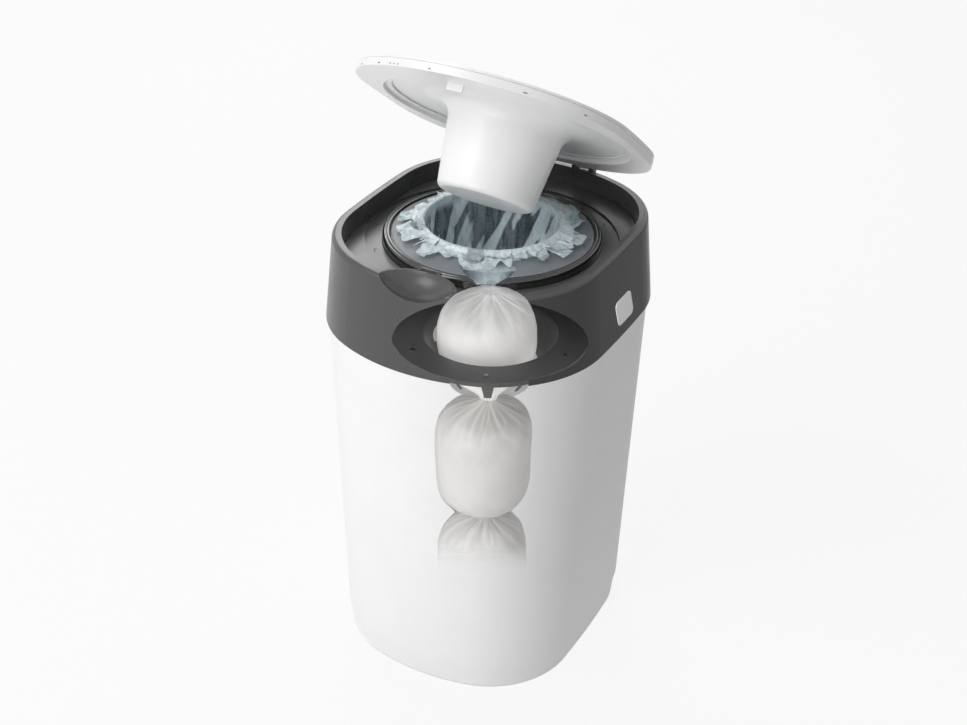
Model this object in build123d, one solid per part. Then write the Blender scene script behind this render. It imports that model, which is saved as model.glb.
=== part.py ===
"""Nappy bin with a twisting film cassette: tub, lift-off top unit, hinged lid with a twist dial.

Millimetres. +Z is up, the finger scoop faces -Y, the lid hinge is at the back (+Y), and the
origin is on the floor under the middle of the bin. The lid is stored standing half open.
"""
from build123d import *
from dataclasses import dataclass
import math
import os

os.makedirs("parts", exist_ok=True)


@dataclass(frozen=True)
class Plan:
    """Rounded-square outline seen from above, made of eight tangent arcs."""

    half_width: float
    half_depth: float
    front_radius: float
    side_radius: float
    corner_radius: float

    def inset(self, distance):
        """The parallel outline that lies this far inside."""
        return Plan(*(size - distance for size in (
            self.half_width, self.half_depth, self.front_radius,
            self.side_radius, self.corner_radius)))

    def wire(self, height):
        """The closed outline at one height."""
        front_y = self.half_depth - self.front_radius
        side_x = self.half_width - self.side_radius
        to_front = self.front_radius - self.corner_radius
        to_side = self.side_radius - self.corner_radius
        gap = math.hypot(side_x, front_y)
        along = (to_front ** 2 - to_side ** 2 + gap ** 2) / (2 * gap)
        across = math.sqrt(to_front ** 2 - along ** 2)
        unit_x, unit_y = side_x / gap, -front_y / gap
        corner_x = along * unit_x + across * unit_y
        corner_y = front_y + along * unit_y - across * unit_x
        front_angle = math.atan2(corner_y - front_y, corner_x)
        side_angle = math.atan2(corner_y, corner_x - side_x)
        middle = (front_angle + side_angle) / 2

        def corner_point(angle):
            return (corner_x + self.corner_radius * math.cos(angle),
                    corner_y + self.corner_radius * math.sin(angle))

        def spot(point, sign_x, sign_y):
            return (point[0] * sign_x, point[1] * sign_y, height)

        front_end = corner_point(front_angle)
        side_end = corner_point(side_angle)
        corner_mid = corner_point(middle)
        edges = []
        for sign in (1, -1):
            edges.append(ThreePointArc(
                spot(front_end, -sign, sign), (0, sign * self.half_depth, height),
                spot(front_end, sign, sign)))
            edges.append(ThreePointArc(
                spot(front_end, sign, sign), spot(corner_mid, sign, sign),
                spot(side_end, sign, sign)))
            edges.append(ThreePointArc(
                spot(side_end, sign, sign), (sign * self.half_width, 0, height),
                spot(side_end, sign, -sign)))
            edges.append(ThreePointArc(
                spot(side_end, sign, -sign), spot(corner_mid, sign, -sign),
                spot(front_end, sign, -sign)))
        return Wire(edges)

    def reach(self, x):
        """Distance from the middle to the front face of the outline, at this x."""
        return self.half_depth - self.front_radius + math.sqrt(self.front_radius ** 2 - x * x)


# --- Driving dimensions -------------------------------------------------------------------

# Refill cassette, the standard size that the bin is built round.
CASSETTE_RADIUS = 91.6
CASSETTE_DRAFT = 2.6
CASSETTE_WALL = 1.8
CASSETTE_HEIGHT = 44.0
CASSETTE_GAP = 2.0
CASSETTE_MOUTH_RADIUS = 62.6
CASSETTE_MOUTH_RISE = 7.6
COVER_SLOT = 4.0
COVER_RISE = 5.0
COVER_THICKNESS = 1.6
COVER_LIP = 4.2
COVER_NOTCHES = 8
FILM_PACK_HEIGHT = 36.0
FIT_GAP = 0.4

# Turning ring under the cassette, and the round well that it turns in.
CARRIER_WALL = 2.2
CARRIER_LIP = 5.2
CARRIER_SKIN_RADIUS = CASSETTE_RADIUS + CASSETTE_GAP
CARRIER_RADIUS = CARRIER_SKIN_RADIUS + CARRIER_LIP + CARRIER_WALL
WELL_RADIUS = CARRIER_RADIUS + FIT_GAP
WELL_WALL = 2.5

# Outlines: the collar's lower edge lies this far outside the well at the side and the front,
# and the floor this far inside the collar's lower edge.
COLLAR_SIDE = 34.2
COLLAR_FRONT = 56.2
TAPER_SIDE = 16.8
TAPER_FRONT = 19.7
COLLAR_PLAN = Plan(WELL_RADIUS + COLLAR_SIDE, WELL_RADIUS + COLLAR_FRONT, 172.0, 1400.0, 107.0)
FLOOR_PLAN = Plan(COLLAR_PLAN.half_width - TAPER_SIDE, COLLAR_PLAN.half_depth - TAPER_FRONT,
                  206.0, 1010.0, 89.5)

# Heights of the shell.
PLINTH_HEIGHT = 30.0
COLLAR_FOOT_Z = 356.6
RIM_Z = 439.5
COLLAR_DRAFT = math.radians(5.4)
TUB_NECK_HEIGHT = 7.4

# Tub.
TUB_WALL = 2.6
TUB_FLOOR = 4.0
TUB_FLOOR_CHAMFER = 4.0
PLINTH_FLARE = 2.7
PLINTH_STEP = 0.9
FOOT_RIM_WIDTH = 16.0
FOOT_RECESS = 1.6
NECK_BEAD = 1.2
NECK_BEAD_HEIGHT = 2.4

# Collar.
COLLAR_WALL = 2.6
RIM_BAND = 8.5
RIM_ROUND = 5.0
RIM_THICKNESS = 2.4
RECESS_WALL = 2.2
RECESS_DRAFT = 1.4
REST_LEDGE_WIDTH = 5.5
REST_LEDGE_THICKNESS = 1.6
DECK_LEDGE_WIDTH = 4.0
DECK_LEDGE_THICKNESS = 2.2

# Finger scoop in the middle of the front, a lens-shaped hollow.
SCOOP_HALF_LENGTH = 42.0
SCOOP_DEPTH = 23.0
SCOOP_BACK = 14.6
SCOOP_RISE = 7.8
SCOOP_WALL = 2.5

# Deck round the well.
DECK_Z = 421.5
DECK_THICKNESS = 2.5
DECK_STEP = 2.0
DECK_STEP_RADIUS = WELL_RADIUS + 15.6
WELL_FLOOR_Z = 378.7
WELL_LEDGE_THICKNESS = 2.5
WELL_LEDGE_WIDTH = 5.6
DECK_RIBS = 12
DECK_RIB_HEIGHT = 9.0
DECK_RIB_THICKNESS = 1.8

# Heights of the turning ring, and its ratchet.
CARRIER_TOP_Z = 423.6
CARRIER_STEP_Z = 417.6
CARRIER_FLOOR = 2.5
CARRIER_MOUTH_RADIUS = CASSETTE_MOUTH_RADIUS + 7.4
TURN_GAP = 0.3
RATCHET_TEETH = 48
RATCHET_RADIUS = WELL_RADIUS - 7.4
RATCHET_DEPTH = 2.5
RATCHET_HEIGHT = 5.0
RATCHET_WALL = 3.0
PAWL_LENGTH = 26.0
PAWL_THICKNESS = 1.4
PAWL_ANGLE = 157.5

# Film and wrapped parcels. The film is drawn inwards and down from the lip, and a parcel swells
# from its upper twist and narrows to its lower one: share of its radius, and distance.
FILM_DRAW = ((3.0, 16.0), (8.0, 40.0))
PARCEL_SHOULDER = ((0.45, 7.0), (0.78, 15.0), (0.95, 26.0), (1.0, 40.0))
PARCEL_TAPER = ((0.99, 52.0), (0.93, 42.0), (0.72, 30.0), (0.36, 14.0))
FILM_THICKNESS = 0.8
FILM_LIP_Z = 439.6
FILM_NECK_RADIUS = 4.6
PARCEL_RADIUS = 47.0
LOWER_PARCEL_RADIUS = 44.0
NECK_Z = (361.2, 246.0, 108.0)
SOFT_GAP = 0.3

# Gripper below the cassette.
GRIPPER_Z = 321.5
GRIPPER_RADIUS = WELL_RADIUS - 6.4
GRIPPER_THICKNESS = 2.2
GRIPPER_LIP = 4.5
GRIPPER_MOUTH_RADIUS = 63.0
GRIPPER_THROAT_RADIUS = 46.0
GRIPPER_CONE_DEPTH = 30.5
GRIPPER_WINDOW_LENGTH = 42.0
GRIPPER_WINDOW_HEIGHT = 13.0
FINGERS = 6
FINGER_LENGTH = 24.0
FINGER_TIP_RADIUS = 31.0
FINGER_ROOT_WIDTH = 13.0
FINGER_TIP_WIDTH = 7.0
GRIPPER_TURN = -5.0
SCREWS = 6
SCREW_CIRCLE = GRIPPER_RADIUS - 13.0
SCREW_HEAD_RADIUS = 2.0
SCREW_HEAD_HEIGHT = 1.0
SCREW_LENGTH = 6.0
SCREW_RADIUS = 1.1
STRUTS = 4
STRUT_THICKNESS = 6.0
STRUT_FOOT = 13.0

# Hinge at the back.
HINGE_Y = COLLAR_PLAN.half_depth - 14.6
HINGE_RISE = 5.0
HINGE_BARREL_RADIUS = 4.0
HINGE_PIN_RADIUS = 1.5
HINGE_PIN_GAP = 0.05
KNUCKLE_X = 26.0
KNUCKLE_WIDTH = 12.0
LUG_WIDTH = 5.0
LUG_GAP = 0.3
HINGE_NOTCH_HALF_WIDTH = 40.0
HINGE_NOTCH_DEPTH = 6.2
LID_REST_ANGLE = 35.5

# Lid, drawn closed. Its outline lies a little inside the collar's, with rounder corners.
LID_PLAN = Plan(COLLAR_PLAN.half_width - 9.1, COLLAR_PLAN.half_depth - 12.1, 150.0, 1390.0, 106.0)
LID_FORWARD = 3.0
LID_GAP = 1.0
LID_SKIRT = 7.2
LID_WALL = 2.2
LID_PARTING = 0.3
LID_COVER_EDGE = 2.4
LID_DOME = 4.6
LID_COVER_WALL = 2.3
LID_COVER_ROUND = 1.4
GROOVE_DEPTH = 3.0
CATCH_HALF_WIDTH = 7.5
CATCH_THICKNESS = 2.0
CATCH_DEPTH = 6.0
CATCH_SLOT_GAP = 0.6
CATCH_Y = COLLAR_PLAN.half_depth - 38.6

# Twist dial with its plunger, and the lip and groove of the lid round it.
DIAL_RADIUS = LID_PLAN.half_width - 13.5
LIP_RADIUS = DIAL_RADIUS - 4.0
GROOVE_RADIUS = DIAL_RADIUS + 5.0
DIAL_WALL = 2.2
DIAL_CAP_RADIUS = DIAL_RADIUS - 17.5
DIAL_CAP_CROWN = 8.0
DIAL_GRIP_WIDTH = 24.0
DIAL_GRIP_DEPTH = 3.8
DIAL_GRIP_RADIUS = DIAL_CAP_RADIUS - 23.5
DISH_RISE = 1.6
DISH_SHOULDER = 15.5
PLUNGER_RADIUS = 53.0
PLUNGER_FLARE = 7.0
PLUNGER_FLARE_DEPTH = 13.0
PLUNGER_FOOT_RADIUS = 45.5
PLUNGER_DEPTH = 72.0
PLUNGER_ROUND = 6.0
PLUNGER_DISH = 0.8

# Side release buttons.
BUTTON_Y = 3.8
BUTTON_Z = 381.0
BUTTON_LENGTH = 33.4
BUTTON_HEIGHT = 25.0
BUTTON_SLANT = 6.7
BUTTON_CORNER = 5.0
BUTTON_PROUD = 0.5
BUTTON_WALL = 2.6
BUTTON_GAP = 0.5
BUTTON_FLANGE = 2.0
BUTTON_TRAVEL = 3.5
BUTTON_STOP_THICKNESS = 2.0
SPRING_LENGTH = 9.0
SPRING_RADIUS = 4.6
SPRING_WIRE = 0.9
SPRING_TURNS = 4.0
HOOK_WIDTH = 12.0
HOOK_THICKNESS = 2.0
HOOK_REACH = 12.0

# --- Sizes worked out from the driving dimensions ------------------------------------------

COLLAR_HEIGHT = RIM_Z - COLLAR_FOOT_Z
TUB_TOP_Z = COLLAR_FOOT_Z + TUB_NECK_HEIGHT
DECK_FLOOR_Z = DECK_Z - DECK_STEP
DECK_UNDER_Z = DECK_FLOOR_Z - DECK_THICKNESS
CARRIER_Z = WELL_FLOOR_Z + TURN_GAP
CASSETTE_Z = CARRIER_Z + CARRIER_FLOOR
CASSETTE_TOP_Z = CASSETTE_Z + CASSETTE_HEIGHT
HINGE_Z = RIM_Z + HINGE_RISE
HINGE_AXIS = Axis((0, HINGE_Y, HINGE_Z), (1, 0, 0))
LID_UNDER_Z = RIM_Z + LID_GAP
LID_PARTING_Z = LID_UNDER_Z + LID_SKIRT
LID_LIP_Z = LID_UNDER_Z + GROOVE_DEPTH
DIAL_Z = LID_LIP_Z + LID_WALL + TURN_GAP
COVER_UNDER_Z = DIAL_Z + DIAL_WALL + TURN_GAP


# --- Shared shapes ---------------------------------------------------------------------------

def collar_plan(height, inset=0.0):
    """The collar's drafted outline at a height, or a parallel one inside it."""
    return COLLAR_PLAN.inset((height - COLLAR_FOOT_Z) * math.tan(COLLAR_DRAFT) + inset)


def between(low_plan, low_z, high_plan, high_z):
    """Solid between two outlines at two heights."""
    return Solid.make_loft([low_plan.wire(low_z), high_plan.wire(high_z)], ruled=True)


def upright(plan, low_z, high_z):
    """Straight-sided solid on one outline."""
    return between(plan, low_z, plan, high_z)


def collar_solid(low_z, high_z, inset=0.0):
    """Solid that follows the collar's drafted side."""
    return between(collar_plan(low_z, inset), low_z, collar_plan(high_z, inset), high_z)


def turned(*points):
    """Solid of revolution about Z from a closed polygon of (radius, height)."""
    return revolve(make_face(Plane.XZ * Polyline(*points, close=True)), Axis.Z)


def tube(outer, inner, low_z, high_z):
    """Upright round tube."""
    return turned((inner, low_z), (outer, low_z), (outer, high_z), (inner, high_z))


def disc(radius, low_z, high_z):
    """Upright round disc."""
    return Pos(0, 0, (low_z + high_z) / 2) * Cylinder(radius, high_z - low_z)


def block(low, high):
    """Box between two corners."""
    size = [b - a for a, b in zip(low, high)]
    middle = [(a + b) / 2 for a, b in zip(low, high)]
    return Pos(*middle) * Box(*size)


def around(shape, count, start=0.0):
    """Copies of a shape spaced evenly about Z."""
    return [Rot(0, 0, start + 360.0 * turn / count) * shape for turn in range(count)]


def opened(shape):
    """A lid piece drawn closed, swung up to the angle it is stored at."""
    return shape.rotate(HINGE_AXIS, -LID_REST_ANGLE)


def mirrored(shape):
    """The left-hand twin of a piece on the right."""
    return mirror(shape, Plane.YZ)


def save(name, shape):
    """Write one sub-part."""
    export_step(shape, f"parts/{name}.step")


# --- Tub -------------------------------------------------------------------------------------

def tub():
    """White bucket with a recessed plinth band, a recessed underside and a neck for the collar."""
    plinth_plan = FLOOR_PLAN.inset(-PLINTH_FLARE)
    neck_inset = COLLAR_WALL + FIT_GAP
    shoulder = collar_plan(COLLAR_FOOT_Z, neck_inset)
    neck_top = collar_plan(TUB_TOP_Z, neck_inset)
    foot_plan = FLOOR_PLAN.inset(TUB_FLOOR_CHAMFER / 2)
    body = between(foot_plan, 0, FLOOR_PLAN, TUB_FLOOR_CHAMFER)
    body += between(FLOOR_PLAN, TUB_FLOOR_CHAMFER, plinth_plan, PLINTH_HEIGHT)
    body += between(plinth_plan.inset(-PLINTH_STEP), PLINTH_HEIGHT, shoulder, COLLAR_FOOT_Z)
    body += between(shoulder, COLLAR_FOOT_Z, neck_top, TUB_TOP_Z)
    floor_z = FOOT_RECESS + TUB_FLOOR
    hollow = between(FLOOR_PLAN.inset(TUB_WALL + TUB_FLOOR_CHAMFER / 2), floor_z,
                     plinth_plan.inset(TUB_WALL), PLINTH_HEIGHT)
    hollow += between(plinth_plan.inset(TUB_WALL), PLINTH_HEIGHT,
                      shoulder.inset(TUB_WALL), COLLAR_FOOT_Z)
    hollow += between(shoulder.inset(TUB_WALL), COLLAR_FOOT_Z,
                      neck_top.inset(TUB_WALL), TUB_TOP_Z)
    recess = upright(FLOOR_PLAN.inset(FOOT_RIM_WIDTH), 0, FOOT_RECESS)
    bead_low = TUB_TOP_Z - NECK_BEAD_HEIGHT
    bead = between(shoulder.inset(TUB_WALL / 2), bead_low, neck_top.inset(TUB_WALL / 2), TUB_TOP_Z)
    bead -= between(shoulder.inset(TUB_WALL + NECK_BEAD), bead_low,
                    neck_top.inset(TUB_WALL + NECK_BEAD), TUB_TOP_Z)
    return body - hollow - recess + bead


# --- Collar and deck ---------------------------------------------------------------------------

def recess_plan(height, inset=0.0):
    """Outline of the hollow inside the rim, which narrows a little towards the deck."""
    fall = (RIM_Z - height) / (RIM_Z - DECK_Z)
    return collar_plan(RIM_Z, RIM_BAND + RECESS_DRAFT * fall + inset)


def scoop(wall=0.0):
    """Lens-shaped hollow across the front of the rim, or the same grown by a wall."""
    half = SCOOP_HALF_LENGTH + wall
    deep = SCOOP_DEPTH + wall
    profile = make_face(ThreePointArc((-half, 0), (0, deep), (half, 0)) + Line((half, 0), (-half, 0)))
    lens = revolve(profile, Axis.X)
    front = collar_plan(RIM_Z).half_depth
    return Pos(0, SCOOP_BACK - front - SCOOP_RISE, RIM_Z + SCOOP_RISE) * lens


def button_face(grow=0.0):
    """Slanted, rounded outline of the side button, drawn looking along X."""
    half_l = BUTTON_LENGTH / 2 + grow
    half_h = BUTTON_HEIGHT / 2 + grow
    lean = BUTTON_SLANT / 2
    corners = ((-half_l + lean, -half_h), (half_l + lean, -half_h),
               (half_l - lean, half_h), (-half_l - lean, half_h))
    face = make_face(Polyline(*corners, close=True))
    return fillet(face.vertices(), BUTTON_CORNER)


def button_prism(grow, near_x, far_x):
    """Button outline swept along X on the right-hand side."""
    plane = Plane(origin=(near_x, BUTTON_Y, BUTTON_Z), x_dir=(0, 1, 0), z_dir=(1, 0, 0))
    return extrude(plane * button_face(grow), far_x - near_x)


def catch_slot_block(grow):
    """Space of the lid's catch tongue when the lid is closed."""
    half_t = CATCH_THICKNESS / 2
    return block((-CATCH_HALF_WIDTH - grow, -CATCH_Y - half_t - grow, LID_UNDER_Z - CATCH_DEPTH - grow),
                 (CATCH_HALF_WIDTH + grow, -CATCH_Y + half_t + grow, LID_UNDER_Z + grow))


def hinge_lugs():
    """Ears on the back rim, one each side of both lid knuckles, bored for the pins."""
    ears = []
    for side in (1, -1):
        for outward in (1, -1):
            x = side * KNUCKLE_X + outward * (KNUCKLE_WIDTH / 2 + LUG_GAP + LUG_WIDTH / 2)
            ear = Pos(x, HINGE_Y, HINGE_Z) * Rot(0, 90, 0) * Cylinder(HINGE_BARREL_RADIUS, LUG_WIDTH)
            ear += block((x - LUG_WIDTH / 2, HINGE_Y - HINGE_BARREL_RADIUS, RIM_Z - RIM_THICKNESS),
                         (x + LUG_WIDTH / 2, HINGE_Y + HINGE_BARREL_RADIUS, HINGE_Z))
            ears.append(ear)
    return ears


def hinge_bore(radius):
    """Long cylinder on the hinge axis."""
    reach = KNUCKLE_X + KNUCKLE_WIDTH
    return Pos(0, HINGE_Y, HINGE_Z) * Rot(0, 90, 0) * Cylinder(radius, 2 * reach)


def collar_shell():
    """Grey collar: drafted outer wall, rolled rim, recess wall, scoop, hinge ears, button holes."""
    outer = collar_solid(COLLAR_FOOT_Z, RIM_Z)
    outer = fillet(outer.faces().sort_by(Axis.Z)[-1].edges(), RIM_ROUND)
    void = collar_solid(COLLAR_FOOT_Z, RIM_Z - RIM_THICKNESS, COLLAR_WALL)
    ledge_z = DECK_UNDER_Z
    ledge_low = ledge_z - DECK_LEDGE_THICKNESS
    inner = between(recess_plan(DECK_Z, -RECESS_WALL), ledge_low,
                    recess_plan(RIM_Z, -RECESS_WALL), RIM_Z)
    shell = outer - (void - inner)
    shell -= between(recess_plan(DECK_Z), ledge_z, recess_plan(RIM_Z), RIM_Z)
    shell -= upright(recess_plan(DECK_Z, DECK_LEDGE_WIDTH), ledge_low, ledge_z)
    ledge = collar_solid(TUB_TOP_Z + TURN_GAP, TUB_TOP_Z + TURN_GAP + REST_LEDGE_THICKNESS,
                         COLLAR_WALL / 2)
    ledge -= collar_solid(TUB_TOP_Z, TUB_TOP_Z + 2 * REST_LEDGE_THICKNESS,
                          COLLAR_WALL + REST_LEDGE_WIDTH)
    shell += ledge
    lip_half = CATCH_HALF_WIDTH + CATCH_SLOT_GAP + SCOOP_WALL
    lip = block((-lip_half, -CATCH_Y - CATCH_THICKNESS / 2 - SCOOP_WALL - CATCH_SLOT_GAP,
                 DECK_Z + FIT_GAP),
                (lip_half, -CATCH_Y + CATCH_THICKNESS / 2 + SCOOP_WALL, RIM_Z))
    shell += (scoop(SCOOP_WALL) & outer) + lip
    shell -= scoop()
    shell -= catch_slot_block(CATCH_SLOT_GAP)
    for ear in hinge_lugs():
        shell += ear
    shell -= hinge_bore(HINGE_PIN_RADIUS)
    hole_far = COLLAR_PLAN.half_width + COLLAR_WALL
    hole = button_prism(BUTTON_GAP, hole_far - 6 * COLLAR_WALL, hole_far)
    shell -= hole
    shell -= mirrored(hole)
    shell -= hook_gap()
    shell -= mirrored(hook_gap())
    return shell + button_stop() + mirrored(button_stop())


def top_deck():
    """Deck plate with a round step down, the well for the turning ring and ribs underneath."""
    low = DECK_UNDER_Z
    tucked = FIT_GAP + DECK_LEDGE_WIDTH
    deck = upright(recess_plan(DECK_Z, FIT_GAP), low, DECK_Z)
    deck -= disc(DECK_STEP_RADIUS, DECK_FLOOR_Z, DECK_Z)
    hollow = upright(recess_plan(DECK_Z, tucked + DECK_THICKNESS), low, DECK_Z - DECK_THICKNESS)
    deck -= hollow - disc(DECK_STEP_RADIUS + DECK_THICKNESS, low, DECK_Z)
    outside = WELL_RADIUS + WELL_WALL
    rib_out = recess_plan(DECK_Z, tucked).half_width - FIT_GAP
    rib = block((outside - WELL_WALL / 2, -DECK_RIB_THICKNESS / 2, low - DECK_RIB_HEIGHT),
                (rib_out, DECK_RIB_THICKNESS / 2, low + DECK_THICKNESS / 2))
    for copy in around(rib, DECK_RIBS):
        deck += copy
    deck -= disc(WELL_RADIUS, low - DECK_RIB_HEIGHT, DECK_Z)
    ledge_low = WELL_FLOOR_Z - WELL_LEDGE_THICKNESS
    well = turned(
        (WELL_RADIUS, WELL_FLOOR_Z), (WELL_RADIUS - WELL_LEDGE_WIDTH, WELL_FLOOR_Z),
        (WELL_RADIUS - WELL_LEDGE_WIDTH, ledge_low), (outside, ledge_low),
        (outside, low + DECK_THICKNESS / 2), (WELL_RADIUS, low + DECK_THICKNESS / 2))
    return deck + well


# --- Gripper -----------------------------------------------------------------------------------

def gripper_ring():
    """Round flange, windowed cone and a crown of holding fingers."""
    top = GRIPPER_Z
    under = top - GRIPPER_THICKNESS
    throat_z = top - GRIPPER_CONE_DEPTH
    wall = GRIPPER_THICKNESS
    body = turned(
        (GRIPPER_RADIUS, top), (GRIPPER_MOUTH_RADIUS + wall, top),
        (GRIPPER_MOUTH_RADIUS, top - wall), (GRIPPER_THROAT_RADIUS, throat_z),
        (GRIPPER_THROAT_RADIUS + wall, throat_z),
        (GRIPPER_MOUTH_RADIUS + wall, under - wall), (GRIPPER_MOUTH_RADIUS + 2 * wall, under),
        (GRIPPER_RADIUS - wall, under), (GRIPPER_RADIUS - wall, top - GRIPPER_LIP),
        (GRIPPER_RADIUS, top - GRIPPER_LIP))
    window_z = top - GRIPPER_CONE_DEPTH / 2
    oval = extrude(Plane.YZ * Ellipse(GRIPPER_WINDOW_LENGTH / 2, GRIPPER_WINDOW_HEIGHT / 2),
                   GRIPPER_RADIUS - 2 * wall)
    body -= Pos(0, 0, window_z - wall / 2) * oval
    body -= Pos(0, 0, window_z - wall / 2) * mirrored(oval)
    tip_z = throat_z - FINGER_LENGTH
    cone = turned((GRIPPER_THROAT_RADIUS, throat_z), (GRIPPER_THROAT_RADIUS + wall, throat_z),
                  (FINGER_TIP_RADIUS + wall, tip_z), (FINGER_TIP_RADIUS, tip_z))
    blade = Plane.YZ * make_face(Polyline(
        (-FINGER_ROOT_WIDTH / 2, throat_z), (FINGER_ROOT_WIDTH / 2, throat_z),
        (FINGER_TIP_WIDTH / 2, tip_z), (-FINGER_TIP_WIDTH / 2, tip_z), close=True))
    finger = cone & extrude(blade, GRIPPER_MOUTH_RADIUS)
    for copy in around(finger, FINGERS):
        body += copy
    hole = disc(SCREW_RADIUS, top - SCREW_LENGTH, top + wall)
    for copy in around(Pos(SCREW_CIRCLE, 0, 0) * hole, SCREWS):
        body -= copy
    return Rot(0, 0, GRIPPER_TURN) * body


def gripper_screws():
    """Small screws down through the gripper's flange."""
    head = disc(SCREW_HEAD_RADIUS, GRIPPER_Z, GRIPPER_Z + SCREW_HEAD_HEIGHT)
    shank = disc(SCREW_RADIUS, GRIPPER_Z - SCREW_LENGTH, GRIPPER_Z)
    screw = Pos(SCREW_CIRCLE, 0, 0) * (head + shank)
    return Compound(children=around(screw, SCREWS, GRIPPER_TURN))


def gripper_struts():
    """Open struts that hang the gripper from the well."""
    ledge_low = WELL_FLOOR_Z - WELL_LEDGE_THICKNESS
    outside = WELL_RADIUS + WELL_WALL
    inner_top = WELL_RADIUS - WELL_LEDGE_WIDTH + WELL_WALL
    foot_in = GRIPPER_RADIUS - STRUT_FOOT
    knee = GRIPPER_Z + STRUT_FOOT
    profile = make_face(Plane.XZ * Polyline(
        (inner_top, ledge_low), (outside, ledge_low), (outside, ledge_low - STRUT_FOOT),
        (GRIPPER_RADIUS, knee), (GRIPPER_RADIUS, GRIPPER_Z), (foot_in, GRIPPER_Z),
        (foot_in, GRIPPER_Z + STRUT_THICKNESS / 2), (GRIPPER_RADIUS - STRUT_THICKNESS, knee),
        (inner_top, ledge_low - STRUT_FOOT), close=True))
    strut = extrude(profile, STRUT_THICKNESS / 2, both=True)
    return Compound(children=around(strut, STRUTS, 360 / STRUTS / 2))


# --- Turning ring, pawl and cassette -----------------------------------------------------------

def carrier_ring():
    """Black turning ring: double wall with a sloped ledge, floor flange and ratchet skirt."""
    inner_skin = CARRIER_SKIN_RADIUS
    slope = CARRIER_STEP_Z - CARRIER_LIP * math.tan(math.radians(30))
    floor_top = CARRIER_Z + CARRIER_FLOOR
    wall = CARRIER_WALL
    body = turned(
        (CARRIER_RADIUS, CARRIER_Z), (CARRIER_RADIUS, CARRIER_TOP_Z - wall / 3),
        (CARRIER_RADIUS - wall / 3, CARRIER_TOP_Z), (CARRIER_RADIUS - wall, CARRIER_TOP_Z - wall / 3),
        (CARRIER_RADIUS - wall, CARRIER_STEP_Z), (inner_skin, slope), (inner_skin, floor_top),
        (CARRIER_MOUTH_RADIUS, floor_top), (CARRIER_MOUTH_RADIUS, CARRIER_Z),
        (inner_skin + wall, CARRIER_Z), (inner_skin + wall, slope - wall / 2),
        (CARRIER_RADIUS - wall, CARRIER_STEP_Z - wall), (CARRIER_RADIUS - wall, CARRIER_Z))
    root = RATCHET_RADIUS - RATCHET_DEPTH
    rim = []
    for tooth in range(RATCHET_TEETH):
        start = 2 * math.pi * tooth / RATCHET_TEETH
        end = 2 * math.pi * (tooth + 1) / RATCHET_TEETH
        rim.append((root * math.cos(start), root * math.sin(start)))
        rim.append((RATCHET_RADIUS * math.cos(end), RATCHET_RADIUS * math.sin(end)))
    gear = extrude(make_face(Polyline(*rim, close=True)), RATCHET_HEIGHT)
    gear -= Cylinder(root - RATCHET_WALL, 4 * RATCHET_HEIGHT)
    return body + Pos(0, 0, CARRIER_Z - RATCHET_HEIGHT) * gear


def click_pawl():
    """Springy arm under the well ledge whose tip drops between the ratchet teeth."""
    ledge_low = WELL_FLOOR_Z - WELL_LEDGE_THICKNESS
    low = CARRIER_Z - RATCHET_HEIGHT
    arm_in = RATCHET_RADIUS + 2 * FIT_GAP
    turn = math.degrees(PAWL_LENGTH / arm_in)
    arm = tube(arm_in + PAWL_THICKNESS, arm_in, low, ledge_low)
    wedge = make_face(Polyline(
        (0, 0), (2 * WELL_RADIUS, 0),
        (2 * WELL_RADIUS * math.cos(math.radians(turn)), 2 * WELL_RADIUS * math.sin(math.radians(turn))),
        close=True))
    arm &= Pos(0, 0, low) * extrude(wedge, RATCHET_HEIGHT)
    foot_turn = Rot(0, 0, turn)
    foot = foot_turn * block((arm_in, -PAWL_THICKNESS, low),
                             (WELL_RADIUS, 3 * PAWL_THICKNESS, ledge_low))
    pitch = 2 * math.pi / RATCHET_TEETH
    reach = RATCHET_RADIUS - RATCHET_DEPTH + 2 * FIT_GAP
    tip = extrude(make_face(Polyline(
        (reach * math.cos(pitch / 12), reach * math.sin(pitch / 12)),
        ((arm_in + PAWL_THICKNESS / 2) * math.cos(pitch / 12), (arm_in + PAWL_THICKNESS / 2) * math.sin(pitch / 12)),
        ((arm_in + PAWL_THICKNESS / 2) * math.cos(pitch / 2), (arm_in + PAWL_THICKNESS / 2) * math.sin(pitch / 2)),
        close=True)), ledge_low - low)
    arm = arm + Pos(0, 0, low) * tip + foot
    whole_teeth = round(PAWL_ANGLE / (360 / RATCHET_TEETH))
    return Rot(0, 0, whole_teeth * 360 / RATCHET_TEETH) * arm


def cassette_tub():
    """Ring-shaped tray of the refill: outer wall, floor and the tube the film runs over."""
    outer_low = CASSETTE_RADIUS - CASSETTE_DRAFT
    wall = CASSETTE_WALL
    mouth = CASSETTE_MOUTH_RADIUS
    lip_z = CASSETTE_TOP_Z + CASSETTE_MOUTH_RISE
    return turned(
        (mouth, CASSETTE_Z), (outer_low, CASSETTE_Z), (CASSETTE_RADIUS, CASSETTE_TOP_Z),
        (CASSETTE_RADIUS - wall, CASSETTE_TOP_Z), (outer_low - wall, CASSETTE_Z + wall),
        (mouth + wall, CASSETTE_Z + wall), (mouth + wall, lip_z - wall / 2),
        (mouth + wall / 2, lip_z), (mouth, lip_z - wall / 2))


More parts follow.
